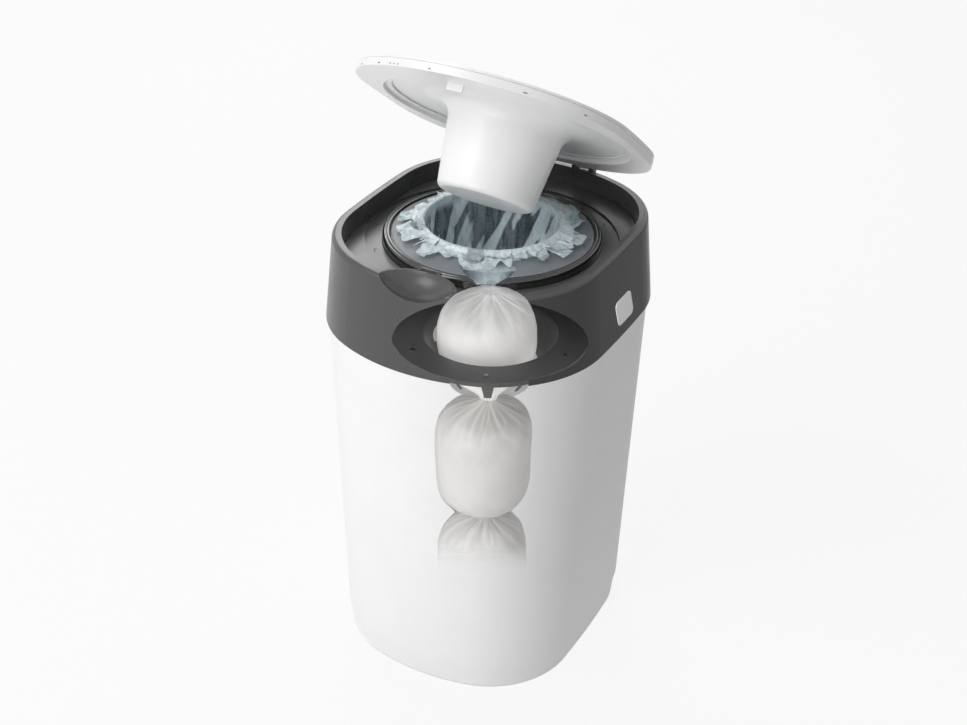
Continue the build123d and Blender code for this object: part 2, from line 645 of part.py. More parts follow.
def cassette_cover():
    """Sloped ring that closes the tray and leaves a slot for the film at its inner edge."""
    inner = CASSETTE_MOUTH_RADIUS + CASSETTE_WALL + COVER_SLOT
    outer = CASSETTE_RADIUS + FIT_GAP / 2
    skin = COVER_THICKNESS
    edge_z = CASSETTE_TOP_Z
    body = turned(
        (CASSETTE_RADIUS - CASSETTE_WALL, edge_z), (outer + skin, edge_z),
        (outer + skin, edge_z + skin), (outer, edge_z + 1.6 * skin),
        (inner + COVER_LIP, edge_z + COVER_RISE + skin), (inner, edge_z + COVER_RISE + 0.7 * skin),
        (inner, edge_z + COVER_RISE - 0.3 * skin), (inner + COVER_LIP, edge_z + COVER_RISE))
    notch_z = edge_z + COVER_RISE
    notch = block((inner - COVER_LIP, -COVER_LIP, notch_z - 2 * COVER_LIP),
                  (inner + COVER_LIP / 2, COVER_LIP, notch_z + 2 * COVER_LIP))
    for copy in around(notch, COVER_NOTCHES):
        body -= copy
    return body


def film_pack():
    """Film gathered in the tray as a soft ring."""
    low = CASSETTE_Z + CASSETTE_WALL
    inner = CASSETTE_MOUTH_RADIUS + CASSETTE_WALL + SOFT_GAP
    outer_low = CASSETTE_RADIUS - CASSETTE_DRAFT - CASSETTE_WALL - SOFT_GAP
    return turned((inner, low), (outer_low, low), (outer_low, low + FILM_PACK_HEIGHT),
                  (inner, low + FILM_PACK_HEIGHT))


def film_profile(inward):
    """Points of the film from the slot over the lip and down to the first twist."""
    lip = CASSETTE_MOUTH_RADIUS - 2 * SOFT_GAP - inward
    outside = CASSETTE_MOUTH_RADIUS + CASSETTE_WALL + SOFT_GAP + inward
    pack_top = CASSETTE_Z + CASSETTE_WALL + FILM_PACK_HEIGHT
    foot_z = LID_UNDER_Z - PLUNGER_DEPTH
    return [
        (outside, pack_top + SOFT_GAP),
        (outside, FILM_LIP_Z - 1.6),
        (CASSETTE_MOUTH_RADIUS + CASSETTE_WALL / 2, FILM_LIP_Z - FILM_THICKNESS + inward),
        (lip, FILM_LIP_Z - 2.2),
        *((lip - inward_by, FILM_LIP_Z - down) for inward_by, down in FILM_DRAW),
        (lip - 11.0, foot_z + 12.0),
        (lip - 15.4, foot_z + 2.5),
        (lip - 23.4, foot_z - 3.4 + inward),
        (FILM_NECK_RADIUS, NECK_Z[0] + 2.6 + inward),
    ]


def film_funnel():
    """Film drawn over the cassette's inner lip and down to the first twist."""
    under, over = film_profile(0.0), film_profile(FILM_THICKNESS)
    return turned(*under, (FILM_NECK_RADIUS, NECK_Z[0]), (0.6, NECK_Z[0]),
                  (0.6, over[-1][1]), *over[::-1])


def parcel(top_z, bottom_z, radius, flat_foot):
    """Nappy wrapped in film: barrel with gathered ends, or with a flat foot to stand on."""
    neck = FILM_NECK_RADIUS
    gap = SOFT_GAP
    points = [(0, top_z - gap), (neck, top_z - gap)]
    points += [(share * radius, top_z - down) for share, down in PARCEL_SHOULDER]
    if flat_foot:
        points += [(radius, bottom_z + 14.0), (0.94 * radius, bottom_z + 5.0),
                   (0.84 * radius, bottom_z), (0, bottom_z)]
    else:
        points += [(share * radius, bottom_z + rise) for share, rise in PARCEL_TAPER]
        points += [(neck, bottom_z + 4.0), (neck, bottom_z), (0, bottom_z)]
    return turned(*points)


# --- Hinge pins --------------------------------------------------------------------------------

def hinge_pins():
    """Two steel pins, each through two ears and one knuckle."""
    length = KNUCKLE_WIDTH + 2 * LUG_GAP + 2 * LUG_WIDTH
    pins = [Pos(side * KNUCKLE_X, HINGE_Y, HINGE_Z) * Rot(0, 90, 0) * Cylinder(HINGE_PIN_RADIUS, length)
            for side in (1, -1)]
    return Compound(children=pins)


# --- Lid, drawn closed -------------------------------------------------------------------------

def lid_prism(inset, low_z, high_z):
    """Straight-sided solid on the lid's outline, with the notch for the hinge ears."""
    body = Pos(0, -LID_FORWARD, 0) * upright(LID_PLAN.inset(inset), low_z, high_z)
    back = LID_PLAN.half_depth - LID_FORWARD
    notch = block((-HINGE_NOTCH_HALF_WIDTH + inset, back - HINGE_NOTCH_DEPTH - inset, low_z - 1),
                  (HINGE_NOTCH_HALF_WIDTH - inset, back + HINGE_NOTCH_DEPTH, high_z + 1))
    return body - notch


def lid_liner():
    """White underside of the lid: skirt, plate, groove ring, inner lip, knuckles and catch."""
    body = lid_prism(0, LID_UNDER_Z, LID_PARTING_Z) - lid_prism(
        LID_WALL, LID_UNDER_Z + LID_WALL, LID_PARTING_Z)
    rib = tube(GROOVE_RADIUS, DIAL_RADIUS + FIT_GAP, LID_UNDER_Z, DIAL_Z + DIAL_WALL)
    body += rib & lid_prism(0, LID_UNDER_Z, LID_PARTING_Z)
    body -= disc(DIAL_RADIUS + FIT_GAP, LID_UNDER_Z, LID_PARTING_Z + LID_WALL)
    band = turned(
        (GROOVE_RADIUS - LID_WALL, LID_LIP_Z), (LIP_RADIUS, LID_LIP_Z + 0.4 * LID_WALL),
        (LIP_RADIUS, LID_LIP_Z + LID_WALL), (GROOVE_RADIUS - LID_WALL, LID_LIP_Z + LID_WALL))
    body += band
    body -= tube(GROOVE_RADIUS - LID_WALL, LIP_RADIUS - LID_WALL, LID_UNDER_Z, LID_LIP_Z)
    back = LID_PLAN.half_depth - LID_FORWARD - HINGE_NOTCH_DEPTH
    for side in (1, -1):
        x = side * KNUCKLE_X
        arm = block((x - KNUCKLE_WIDTH / 2, back - LID_WALL, HINGE_Z - HINGE_BARREL_RADIUS),
                    (x + KNUCKLE_WIDTH / 2, HINGE_Y, HINGE_Z + 0.6 * HINGE_BARREL_RADIUS))
        arm += Pos(x, HINGE_Y, HINGE_Z) * Rot(0, 90, 0) * Cylinder(HINGE_BARREL_RADIUS, KNUCKLE_WIDTH)
        body += arm
    body -= hinge_bore(HINGE_PIN_RADIUS + HINGE_PIN_GAP)
    body += catch_slot_block(0.0)
    return body


def dome_solid(drop, inset, low_z):
    """Lid outline cut off by the large ball that gives the cover its crown."""
    edge_z = LID_PARTING_Z + LID_PARTING + LID_COVER_EDGE
    reach = LID_PLAN.half_depth
    ball_radius = (reach ** 2 + LID_DOME ** 2) / (2 * LID_DOME)
    crown_z = edge_z + LID_DOME - drop
    ball = Pos(0, 0, crown_z - ball_radius) * Sphere(ball_radius, -90, 90, 360)
    return lid_prism(inset, low_z, crown_z + 1) & ball


def lid_cover():
    """White crowned cover of the lid with the round opening for the dial."""
    low = LID_PARTING_Z + LID_PARTING
    body = dome_solid(0.0, LID_PARTING, low)
    body -= dome_solid(LID_COVER_WALL, LID_PARTING + LID_COVER_WALL, low)
    clear = DIAL_RADIUS + FIT_GAP
    seat = tube(clear, DIAL_CAP_RADIUS + FIT_GAP, COVER_UNDER_Z, low + LID_COVER_EDGE + LID_COVER_WALL)
    body += seat & dome_solid(0.0, LID_PARTING, low)
    body -= disc(DIAL_CAP_RADIUS + FIT_GAP, low, low + 4 * LID_DOME)
    return body


def dial_plunger():
    """White dish that turns in the lid, with the cup-shaped plunger in its middle."""
    wall = DIAL_WALL
    foot_z = LID_UNDER_Z - PLUNGER_DEPTH
    flange = DIAL_Z
    dish = DIAL_Z + DISH_RISE
    knee = PLUNGER_RADIUS + PLUNGER_FLARE
    foot_round = PLUNGER_FOOT_RADIUS - PLUNGER_ROUND
    soft = PLUNGER_ROUND * (1 - math.sqrt(0.5))

    def skin(shift):
        side = (PLUNGER_RADIUS - shift, flange - PLUNGER_FLARE_DEPTH)
        heel = (PLUNGER_FOOT_RADIUS - shift, foot_z + PLUNGER_ROUND)
        outline = Polyline((DIAL_RADIUS, flange + shift), (DIAL_CAP_RADIUS - wall, flange + shift))
        outline += Spline(
            (DIAL_CAP_RADIUS - wall, flange + shift), (DIAL_CAP_RADIUS - DISH_SHOULDER, dish - 0.8 + shift),
            (knee + 8.0, dish - 2.6 + shift), (knee - 0.9 * shift, flange - 3.0 + 0.6 * shift), side,
            tangents=((-1, 0), (side[0] - heel[0], side[1] - heel[1])), tangent_scalars=(1.0, -0.6))
        outline += Line(side, heel)
        outline += ThreePointArc(
            heel, (PLUNGER_FOOT_RADIUS - soft - 0.7 * shift, foot_z + soft + 0.7 * shift),
            (foot_round, foot_z + shift))
        outline += Line((foot_round, foot_z + shift), (0, foot_z + PLUNGER_DISH + shift))
        return outline

    def filled(shift):
        top = flange + wall + PLUNGER_DEPTH
        edges = skin(shift)
        edges += Line((0, foot_z + PLUNGER_DISH + shift), (0, top))
        edges += Line((0, top), (DIAL_RADIUS, top))
        edges += Line((DIAL_RADIUS, top), (DIAL_RADIUS, flange + shift))
        return revolve(make_face(Plane.XZ * edges), Axis.Z)

    return filled(0.0) - filled(wall)


def dial_cap():
    """Round cap on top of the lid with a grip bar across it."""
    low = DIAL_Z + DIAL_WALL
    crown = low + DIAL_CAP_CROWN
    pocket_z = crown - DIAL_GRIP_DEPTH
    under = pocket_z - DIAL_WALL
    skin = DIAL_WALL
    radius = DIAL_CAP_RADIUS
    body = turned((0, under), (radius - skin, under), (radius - skin, low), (radius, low),
                  (radius, low + skin), (radius - skin / 2, low + 2 * skin),
                  (DIAL_GRIP_RADIUS, crown - skin / 2), (0, crown))
    pocket = disc(DIAL_GRIP_RADIUS, pocket_z, crown + skin)
    pocket -= block((-DIAL_GRIP_WIDTH / 2, -radius, low), (DIAL_GRIP_WIDTH / 2, radius, crown + 1))
    return body - pocket


# --- Side release buttons ------------------------------------------------------------------------

def button_wall_x(inset):
    """X of the collar's right-hand wall at the button's middle height, this far inside."""
    return collar_plan(BUTTON_Z, inset).half_width


def release_button():
    """Right-hand button: pad that follows the wall, retaining flange, spring boss and latch hook."""
    far = COLLAR_PLAN.half_width + 2 * BUTTON_PROUD
    near = far - 8 * BUTTON_WALL
    low, high = BUTTON_Z - BUTTON_HEIGHT, BUTTON_Z + BUTTON_HEIGHT
    proud = collar_solid(low, high, -BUTTON_PROUD)
    back = collar_solid(low, high, COLLAR_WALL + TURN_GAP)
    pad = (button_prism(0.0, near, far) & proud) - back
    flange = button_prism(BUTTON_FLANGE, near, far) & back
    flange -= collar_solid(low, high, COLLAR_WALL + TURN_GAP + BUTTON_WALL)
    back_x = button_wall_x(COLLAR_WALL + TURN_GAP + BUTTON_WALL)
    boss_r = SPRING_RADIUS - SPRING_WIRE - TURN_GAP
    boss_length = SPRING_LENGTH - BUTTON_TRAVEL - 2 * TURN_GAP - 1.0
    boss = Pos(back_x - boss_length / 2 + 0.5, BUTTON_Y, BUTTON_Z) * Rot(0, 90, 0) * Cylinder(
        boss_r, boss_length + 1.0)
    button = pad + flange + boss
    low_z = BUTTON_Z - BUTTON_HEIGHT / 2 - BUTTON_FLANGE
    hook_x = hook_outer_x()
    hook = block((hook_x - HOOK_THICKNESS, BUTTON_Y - HOOK_WIDTH / 2, low_z - HOOK_REACH),
                 (hook_x, BUTTON_Y + HOOK_WIDTH / 2, low_z))
    shelf = block((hook_x - HOOK_THICKNESS, BUTTON_Y - HOOK_WIDTH / 2, low_z - HOOK_THICKNESS / 2),
                  (back_x + BUTTON_WALL, BUTTON_Y + HOOK_WIDTH / 2, low_z + HOOK_THICKNESS))
    return button + hook + (shelf & collar_solid(low_z - BUTTON_WALL, high, COLLAR_WALL + TURN_GAP))


def hook_outer_x():
    """Outer face of the latch hook, just inside the bead of the tub's neck."""
    neck = collar_plan(TUB_TOP_Z, COLLAR_WALL + FIT_GAP + TUB_WALL + NECK_BEAD)
    return neck.half_width - SOFT_GAP


def hook_gap():
    """Gap in the rest ledge that the latch hook passes through."""
    ledge_in = collar_plan(TUB_TOP_Z, COLLAR_WALL + REST_LEDGE_WIDTH).half_width
    low = TUB_TOP_Z - 1
    high = TUB_TOP_Z + TURN_GAP + REST_LEDGE_THICKNESS + 1
    wall_in = collar_plan(TUB_TOP_Z, COLLAR_WALL).half_width
    half = HOOK_WIDTH / 2 + BUTTON_GAP
    return block((ledge_in - 4 * HOOK_THICKNESS, BUTTON_Y - half, low), (wall_in - FIT_GAP, BUTTON_Y + half, high))


def button_stop():
    """Rib inside the collar that the button's spring pushes against, hung from the rim."""
    back_x = button_wall_x(COLLAR_WALL + TURN_GAP + BUTTON_WALL)
    face = back_x - SPRING_LENGTH - TURN_GAP
    half = SPRING_RADIUS + BUTTON_STOP_THICKNESS
    plate = block((face - BUTTON_STOP_THICKNESS, BUTTON_Y - half, BUTTON_Z - half),
                  (face, BUTTON_Y + half, DECK_UNDER_Z - DECK_LEDGE_THICKNESS))
    return plate


def button_spring():
    """Helical spring between the button's back and the stop rib."""
    back_x = button_wall_x(COLLAR_WALL + TURN_GAP + BUTTON_WALL)
    turns = SPRING_TURNS
    run = SPRING_LENGTH - SPRING_WIRE - 2 * TURN_GAP
    mid_radius = SPRING_RADIUS - SPRING_WIRE / 2
    path = Helix(run / turns, run, mid_radius)
    start = path @ 0
    section = Plane(origin=start, z_dir=path % 0) * Circle(SPRING_WIRE / 2)
    coil = sweep(section, path)
    return Pos(back_x - SPRING_LENGTH + SPRING_WIRE / 2, BUTTON_Y, BUTTON_Z) * Rot(0, 90, 0) * coil


# --- The whole bin -------------------------------------------------------------------------------

def main():
    """Build and write every sub-part."""
    save("tub", tub())
    save("collar_shell", collar_shell())
    save("top_deck", top_deck())
    save("gripper_ring", gripper_ring())
    save("gripper_screws", gripper_screws())
    save("gripper_struts", gripper_struts())
    save("click_pawl", click_pawl())
    save("carrier_ring", carrier_ring())
    save("cassette_tub", cassette_tub())
    save("cassette_cover", cassette_cover())
    save("film_pack", film_pack())
    save("film_funnel", film_funnel())
    save("parcel_upper", parcel(NECK_Z[0], NECK_Z[1], PARCEL_RADIUS, False))
    save("parcel_middle", parcel(NECK_Z[1], NECK_Z[2], PARCEL_RADIUS, False))
    floor_z = FOOT_RECESS + TUB_FLOOR
    save("parcel_lower", parcel(NECK_Z[2], floor_z + SOFT_GAP, LOWER_PARCEL_RADIUS, True))
    save("hinge_pins", hinge_pins())
    save("lid_liner", opened(lid_liner()))
    save("lid_cover", opened(lid_cover()))
    save("dial_plunger", opened(dial_plunger()))
    save("dial_cap", opened(dial_cap()))
    button = release_button()
    save("right_release_button", button)
    save("left_release_button", mirrored(button))
    spring = button_spring()
    save("right_button_spring", spring)
    save("left_button_spring", mirrored(spring))


main()
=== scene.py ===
"""Nappy bin with a twisting film cassette: finishes, film, wrapped nappies, studio and camera.

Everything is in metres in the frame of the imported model: +Z up, the finger scoop towards -Y.
The wall of the bin has a clear window, shaped like the parts that stand behind it.
"""
from __future__ import annotations

import logging
import math
import random
from collections.abc import Callable, Sequence
from dataclasses import dataclass, field
from enum import Enum

import bpy
from bpy.types import Material, Node, NodeSocket, Object
from mathutils import Matrix, Quaternion, Vector, noise

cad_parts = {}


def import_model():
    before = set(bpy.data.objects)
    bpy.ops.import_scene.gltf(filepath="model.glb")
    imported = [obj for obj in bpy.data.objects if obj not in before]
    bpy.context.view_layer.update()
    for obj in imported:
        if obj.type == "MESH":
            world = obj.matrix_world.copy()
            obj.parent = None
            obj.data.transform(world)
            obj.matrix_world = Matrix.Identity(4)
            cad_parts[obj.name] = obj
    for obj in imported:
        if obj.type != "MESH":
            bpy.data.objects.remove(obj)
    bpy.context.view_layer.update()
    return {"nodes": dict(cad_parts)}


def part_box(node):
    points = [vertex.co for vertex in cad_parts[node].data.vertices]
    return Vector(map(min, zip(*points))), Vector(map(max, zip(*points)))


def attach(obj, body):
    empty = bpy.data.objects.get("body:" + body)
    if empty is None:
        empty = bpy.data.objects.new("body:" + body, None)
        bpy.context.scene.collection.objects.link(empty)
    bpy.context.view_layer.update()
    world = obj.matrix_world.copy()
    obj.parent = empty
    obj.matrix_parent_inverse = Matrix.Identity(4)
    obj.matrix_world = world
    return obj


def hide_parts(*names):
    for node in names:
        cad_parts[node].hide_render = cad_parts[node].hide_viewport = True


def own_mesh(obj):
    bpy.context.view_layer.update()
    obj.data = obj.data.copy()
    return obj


LOG = logging.getLogger("nappy_bin")
Colour = tuple[float, float, float, float]
Pair = tuple[float, float]
Triple = tuple[float, float, float]
Outline = tuple[Triple, ...]
Face = tuple[int, ...]

MM = 0.001
UP = (0.0, 0.0, 1.0)
HINGE_LINE = (0.0, 0.143, 0.4445)
LID_ANGLE = math.radians(35.5)


def grey(value: float, warmth: float = 0.0) -> Colour:
    """A grey with an optional warm or cool cast."""
    return (value * (1 + warmth), value, value * (1 - warmth), 1.0)


# --- Materials ---


@dataclass(frozen=True)
class Level:
    """A number that varies over a surface. Arithmetic on it adds Math nodes."""

    paint: Paint
    socket: NodeSocket

    def math(self, operation: str, *terms: Level | float) -> Level:
        """Add one Math node.

        Args:
            operation: The node's operation.
            terms: Its inputs in order.

        Returns:
            The result.
        """
        node = self.paint.node("ShaderNodeMath", {"operation": operation}, dict(enumerate(terms)))
        return Level(self.paint, node.outputs[0])

    def __add__(self, other: Level | float) -> Level:
        """Sum."""
        return self.math("ADD", self, other)

    def __radd__(self, other: float) -> Level:
        """Sum with a plain number on the left."""
        return self.math("ADD", other, self)

    def __sub__(self, other: Level | float) -> Level:
        """Difference."""
        return self.math("SUBTRACT", self, other)

    def __rsub__(self, other: float) -> Level:
        """Difference from a plain number."""
        return self.math("SUBTRACT", other, self)

    def __mul__(self, other: Level | float) -> Level:
        """Product."""
        return self.math("MULTIPLY", self, other)

    def __rmul__(self, other: float) -> Level:
        """Product with a plain number on the left."""
        return self.math("MULTIPLY", other, self)

    def __truediv__(self, other: Level | float) -> Level:
        """Quotient."""
        return self.math("DIVIDE", self, other)

    def __rtruediv__(self, other: float) -> Level:
        """Plain number divided by this one."""
        return self.math("DIVIDE", other, self)

    def __pow__(self, other: float) -> Level:
        """Power."""
        return self.math("POWER", self, other)

    def __abs__(self) -> Level:
        """Size without the sign."""
        return self.math("ABSOLUTE", self)

    def __or__(self, other: Level) -> Level:
        """The larger of two masks."""
        return self.math("MAXIMUM", self, other)

    def step(self, low: float, high: float) -> Level:
        """Smooth step from 0 at low to 1 at high.

        Args:
            low: Value that gives 0.
            high: Value that gives 1.

        Returns:
            The stepped level.
        """
        node = self.paint.node("ShaderNodeMapRange", {"interpolation_type": "SMOOTHSTEP"},
                               {"Value": self, "From Min": low, "From Max": high})
        return Level(self.paint, node.outputs[0])


class Paint:
    """One material, or the world, under construction."""

    def __init__(self, name: str, for_world: bool = False) -> None:
        """Start an empty node tree.

        Args:
            name: The material's name.
            for_world: Whether it is the world's tree and not a material's.
        """
        self.holder = (bpy.data.worlds if for_world else bpy.data.materials).new(name)
        self.holder.use_nodes = True
        self.tree = self.holder.node_tree
        self.tree.nodes.clear()

    def node(self, kind: str, settings: dict | None = None, values: dict | None = None) -> Node:
        """Add one node.

        Args:
            kind: The node's type.
            settings: Its properties, set first; "stops" fills a ramp.
            values: Numbers, colours, sockets or levels for its inputs, by name or index.

        Returns:
            The node.
        """
        made = self.tree.nodes.new(kind)
        for key, value in (settings or {}).items():
            if key != "stops":
                setattr(made, key, value)
                continue
            ramp = made.color_ramp
            while len(ramp.elements) < len(value):
                ramp.elements.new(1.0)
            for element, (position, colour) in zip(ramp.elements, value):
                element.position, element.color = position, colour
        for key, value in (values or {}).items():
            socket = made.inputs[key]
            source = value.socket if isinstance(value, Level) else value
            if isinstance(source, NodeSocket):
                self.tree.links.new(source, socket)
            else:
                socket.default_value = source
        return made

    def place(self) -> NodeSocket:
        """Position on the object at rest, in metres."""
        return self.node("ShaderNodeTexCoord").outputs["Object"]

    def along(self, direction: Triple) -> Level:
        """Distance of the surface point along a fixed direction.

        Args:
            direction: The direction, of length 1.

        Returns:
            The distance from the origin in metres.
        """
        node = self.node("ShaderNodeVectorMath", {"operation": "DOT_PRODUCT"},
                         {0: self.place(), 1: direction})
        return Level(self, node.outputs["Value"])

    def grain(self, scale: float, detail: float = 3.0, stretch: Triple = (1.0, 1.0, 1.0)) -> Level:
        """Noise over the surface.

        Args:
            scale: Features per metre.
            detail: Octaves.
            stretch: Scale along each axis.

        Returns:
            A level around 0.5.
        """
        place = self.node("ShaderNodeMapping", {}, {"Vector": self.place(), "Scale": stretch})
        node = self.node("ShaderNodeTexNoise", {},
                         {"Vector": place.outputs[0], "Scale": scale, "Detail": detail})
        return Level(self, node.outputs[0])

    def panels(self, scale: float, lean: float) -> Level:
        """Broad upright streaks that wind around the axis.

        Args:
            scale: Streaks per metre across.
            lean: Turn of the streaks in radians for each metre of height.

        Returns:
            A level around 0.5.
        """
        turn = self.along(UP) * lean
        wound = self.node("ShaderNodeVectorRotate", {"rotation_type": "Z_AXIS"},
                          {"Vector": self.place(), "Angle": turn})
        place = self.node("ShaderNodeMapping", {}, {"Vector": wound.outputs[0], "Scale": (1.0, 1.0, 0.10)})
        node = self.node("ShaderNodeTexNoise", {},
                         {"Vector": place.outputs[0], "Scale": scale, "Detail": 1.0})
        return Level(self, node.outputs[0])

    def marked(self, name: str) -> Level:
        """Number that a mesh holds at its points under this name."""
        return Level(self, self.node("ShaderNodeAttribute", {"attribute_name": name}).outputs["Fac"])

    def curve(self, place: Level, points: Sequence[Pair]) -> Level:
        """Level drawn by straight lines through points.

        Args:
            place: Where the curve is read, from 0 to 1.
            points: Places and their values, each from 0 to 1.

        Returns:
            The curve's value.
        """
        node = self.node("ShaderNodeFloatCurve", {}, {"Value": place})
        line = node.mapping.curves[0].points
        while len(line) < len(points):
            line.new(0.5, 0.5)
        for knot, spot in zip(line, points):
            knot.location, knot.handle_type = spot, "VECTOR"
        node.mapping.update()
        return Level(self, node.outputs[0])

    def blend(self, factor: Level, low: Colour | NodeSocket,
              high: Colour | NodeSocket) -> NodeSocket:
        """Colour between two others.

        Args:
            factor: 0 for the first, 1 for the second.
            low: First colour.
            high: Second colour.

        Returns:
            The mixed colour's socket.
        """
        node = self.node("ShaderNodeMix", {"data_type": "RGBA"}, {0: factor, 6: low, 7: high})
        return node.outputs[2]

    def relief(self, height: Level, depth: float, strength: float = 1.0) -> NodeSocket:
        """Normal of a surface with small relief."""
        node = self.node("ShaderNodeBump", {}, {"Height": height, "Distance": depth, "Strength": strength})
        return node.outputs["Normal"]

    def close(self, values: dict) -> Material:
        """End in a Principled surface.

        Args:
            values: Its inputs by name.

        Returns:
            The finished material.
        """
        shader = self.node("ShaderNodeBsdfPrincipled", {}, values)
        self.node("ShaderNodeOutputMaterial", {}, {"Surface": shader.outputs[0]})
        return self.holder


@dataclass(frozen=True)
class Viewpoint:
    """The one place that the clear window is drawn for, and the camera's place."""

    place: Triple = (0.6063, -1.1971, 1.0867)
    turn: float = math.radians(26.859)
    tilt: float = math.radians(31.555)
    roll: float = math.radians(1.249)
    lens: float = 60.4
    shift: Pair = (-0.00585, 0.0221)

    def toward(self) -> Triple:
        """Level direction from the bin to the viewpoint."""
        return (math.sin(self.turn), -math.cos(self.turn), 0.0)

    def sideways(self) -> Triple:
        """Level direction across the view."""
        return (math.cos(self.turn), math.sin(self.turn), 0.0)

    def distance(self) -> float:
        """Level distance from the bin's axis."""
        return math.hypot(self.place[0], self.place[1])

    def on_plane(self, point: Triple) -> Pair:
        """Where the line of sight to a point meets the upright plane through the axis.

        Args:
            point: The point in metres.

        Returns:
            Distance to the side, to the right of the axis, and height.
        """
        toward, side = self.toward(), self.sideways()
        ahead = point[0] * toward[0] + point[1] * toward[1]
        reach = self.distance() / (self.distance() - ahead)
        across = (point[0] * side[0] + point[1] * side[1]) * reach
        return across, (point[2] - self.place[2]) * reach + self.place[2]


class Shown(Enum):
    """How much of the window a finish lets through."""

    NOTHING = 0
    PARCELS = 1
    EVERYTHING = 2


@dataclass(frozen=True)
class ClearWindow:
    """Fixed clear area in the walls, in the outline of what stands behind them."""

    view: Viewpoint = Viewpoint()
    front: float = 0.020
    front_soft: float = 0.002
    soft: float = 0.0005
    end_soft: float = 0.001
    widest: float = 0.10
    ring_half_width: float = 0.0940
    ring_top: float = 0.3560
    ring_foot: float = 0.2640
    finger_half_width: float = 0.0385
    finger_foot: float = 0.2450
    neck_foot: float = 0.3640
    neck_top: float = 0.3860
    neck_fade: float = 0.0090
    neck_half_width: float = 0.0085
    neck_spread: float = 0.0175
    neck_shift: float = -0.0060
    neck_soft: float = 0.0025
    fade_foot: float = 0.0300
    fade_top: float = 0.0720
    light_let_in: float = 0.92

    def mask(self, paint: Paint, outline: Outline, shown: Shown) -> Level:
        """Mask of the window on the surface.

        Args:
            paint: The material that gets it.
            outline: Heights and reach to the left and right of the parcels, seen from the viewpoint.
            shown: Only the parcels, cut right through, or all that stands behind the front walls.

        Returns:
            1 where the wall is clear.
        """
        ahead = paint.along(self.view.toward())
        reach = self.view.distance() / (self.view.distance() - ahead)
        side = paint.along(self.view.sideways()) * reach
        height = (paint.along(UP) - self.view.place[2]) * reach + self.view.place[2]
        top = outline[-1][0]
        share = height / top
        left = paint.curve(share, [(z / top, low / self.widest) for z, low, _ in outline]) * self.widest
        right = paint.curve(share, [(z / top, high / self.widest) for z, _, high in outline]) * self.widest
        body = (left + side).step(0.0, self.soft) * (right - side).step(0.0, self.soft)
        body = body * height.step(self.fade_foot, self.fade_top)
        body = body * (1 - height.step(top - self.end_soft, top))
        if shown is Shown.PARCELS:
            return body
        clear = body | self._oval(side, height, self.ring_half_width, self.ring_foot, self.ring_top)
        clear = clear | self._oval(side, height, self.finger_half_width, self.finger_foot,
                                   2 * self.ring_foot - self.finger_foot)
        rise = height.step(self.neck_foot, self.neck_top)
        wide = rise ** 1.6 * self.neck_spread + self.neck_half_width
        neck = (wide - abs(side - self.neck_shift * (1 - 0.6 * rise))).step(0.0, self.neck_soft)
        neck = neck * height.step(self.neck_foot - self.end_soft, self.neck_foot)
        clear = clear | neck * (1 - height.step(self.neck_top, self.neck_top + self.neck_fade))
        return clear * ahead.step(self.front, self.front + self.front_soft)

    def lit(self, paint: Paint) -> Level:
        """How much light from lamps and surroundings passes the wall's front half.

        Args:
            paint: The material that gets it.

        Returns:
            The share that passes.
        """
        path = paint.node("ShaderNodeLightPath")
        rays = Level(paint, path.outputs["Is Shadow Ray"]) | Level(paint, path.outputs["Is Diffuse Ray"])
        return rays * paint.along(self.view.toward()).step(0.0, self.front) * self.light_let_in

    @staticmethod
    def _oval(side: Level, height: Level, half_width: float, foot: float, top: float) -> Level:
        """Mask of an oval between two heights.

        Args:
            side: Distance to the side on the window's plane.
            height: Height on it.
            half_width: Half the oval's width.
            foot: Its lowest point.
            top: Its highest point.

        Returns:
            1 inside the oval.
        """
        middle, half = (foot + top) / 2, (top - foot) / 2
        spread = (abs(side) * (1 / half_width)) ** 2.0 + (abs(height - middle) * (1 / half)) ** 2.0
        return 1 - spread.step(0.985, 1.0)


@dataclass(frozen=True)
class PlasticFinish:
    """Moulded plastic with a fine grain, faint flow marks and softened shine."""

    name: str
    colour: Colour
    roughness: float = 0.42
    grain_scale: float = 1500.0
    grain_depth: float = 0.00003
    mottle: float = 0.05
    coat: float = 0.0
    shine: float = 0.5
    opacity: float = 1.0
    shown: Shown = Shown.NOTHING
    outline: Outline = ()
    flow_scale: float = 9.0
    smudge_scale: float = 34.0

    def material(self) -> Material:
        """Build the material.

        Returns:
            The material.
        """
        paint = Paint(self.name)
        flow = paint.grain(self.flow_scale, 4.0)
        fine = paint.grain(self.grain_scale, 2.0)
        smudge = paint.grain(self.smudge_scale, 5.0)
        low = tuple(c * (1 - self.mottle) for c in self.colour[:3]) + (1.0,)
        high = tuple(min(1.0, c * (1 + self.mottle)) for c in self.colour[:3]) + (1.0,)
        values = {
            "Base Color": paint.blend(flow * 0.6 + smudge * 0.4, low, high),
            "Roughness": smudge * 0.16 + (self.roughness - 0.08),
            "Normal": paint.relief(fine, self.grain_depth),
            "Coat Weight": self.coat,
            "Coat Roughness": 0.08,
            "Specular IOR Level": self.shine,
            "Alpha": self.opacity,
        }
        if self.shown is not Shown.NOTHING:
            window = ClearWindow()
            clear = window.mask(paint, self.outline, self.shown) | window.lit(paint)
            values["Alpha"] = (1 - clear) * self.opacity
        return paint.close(values)


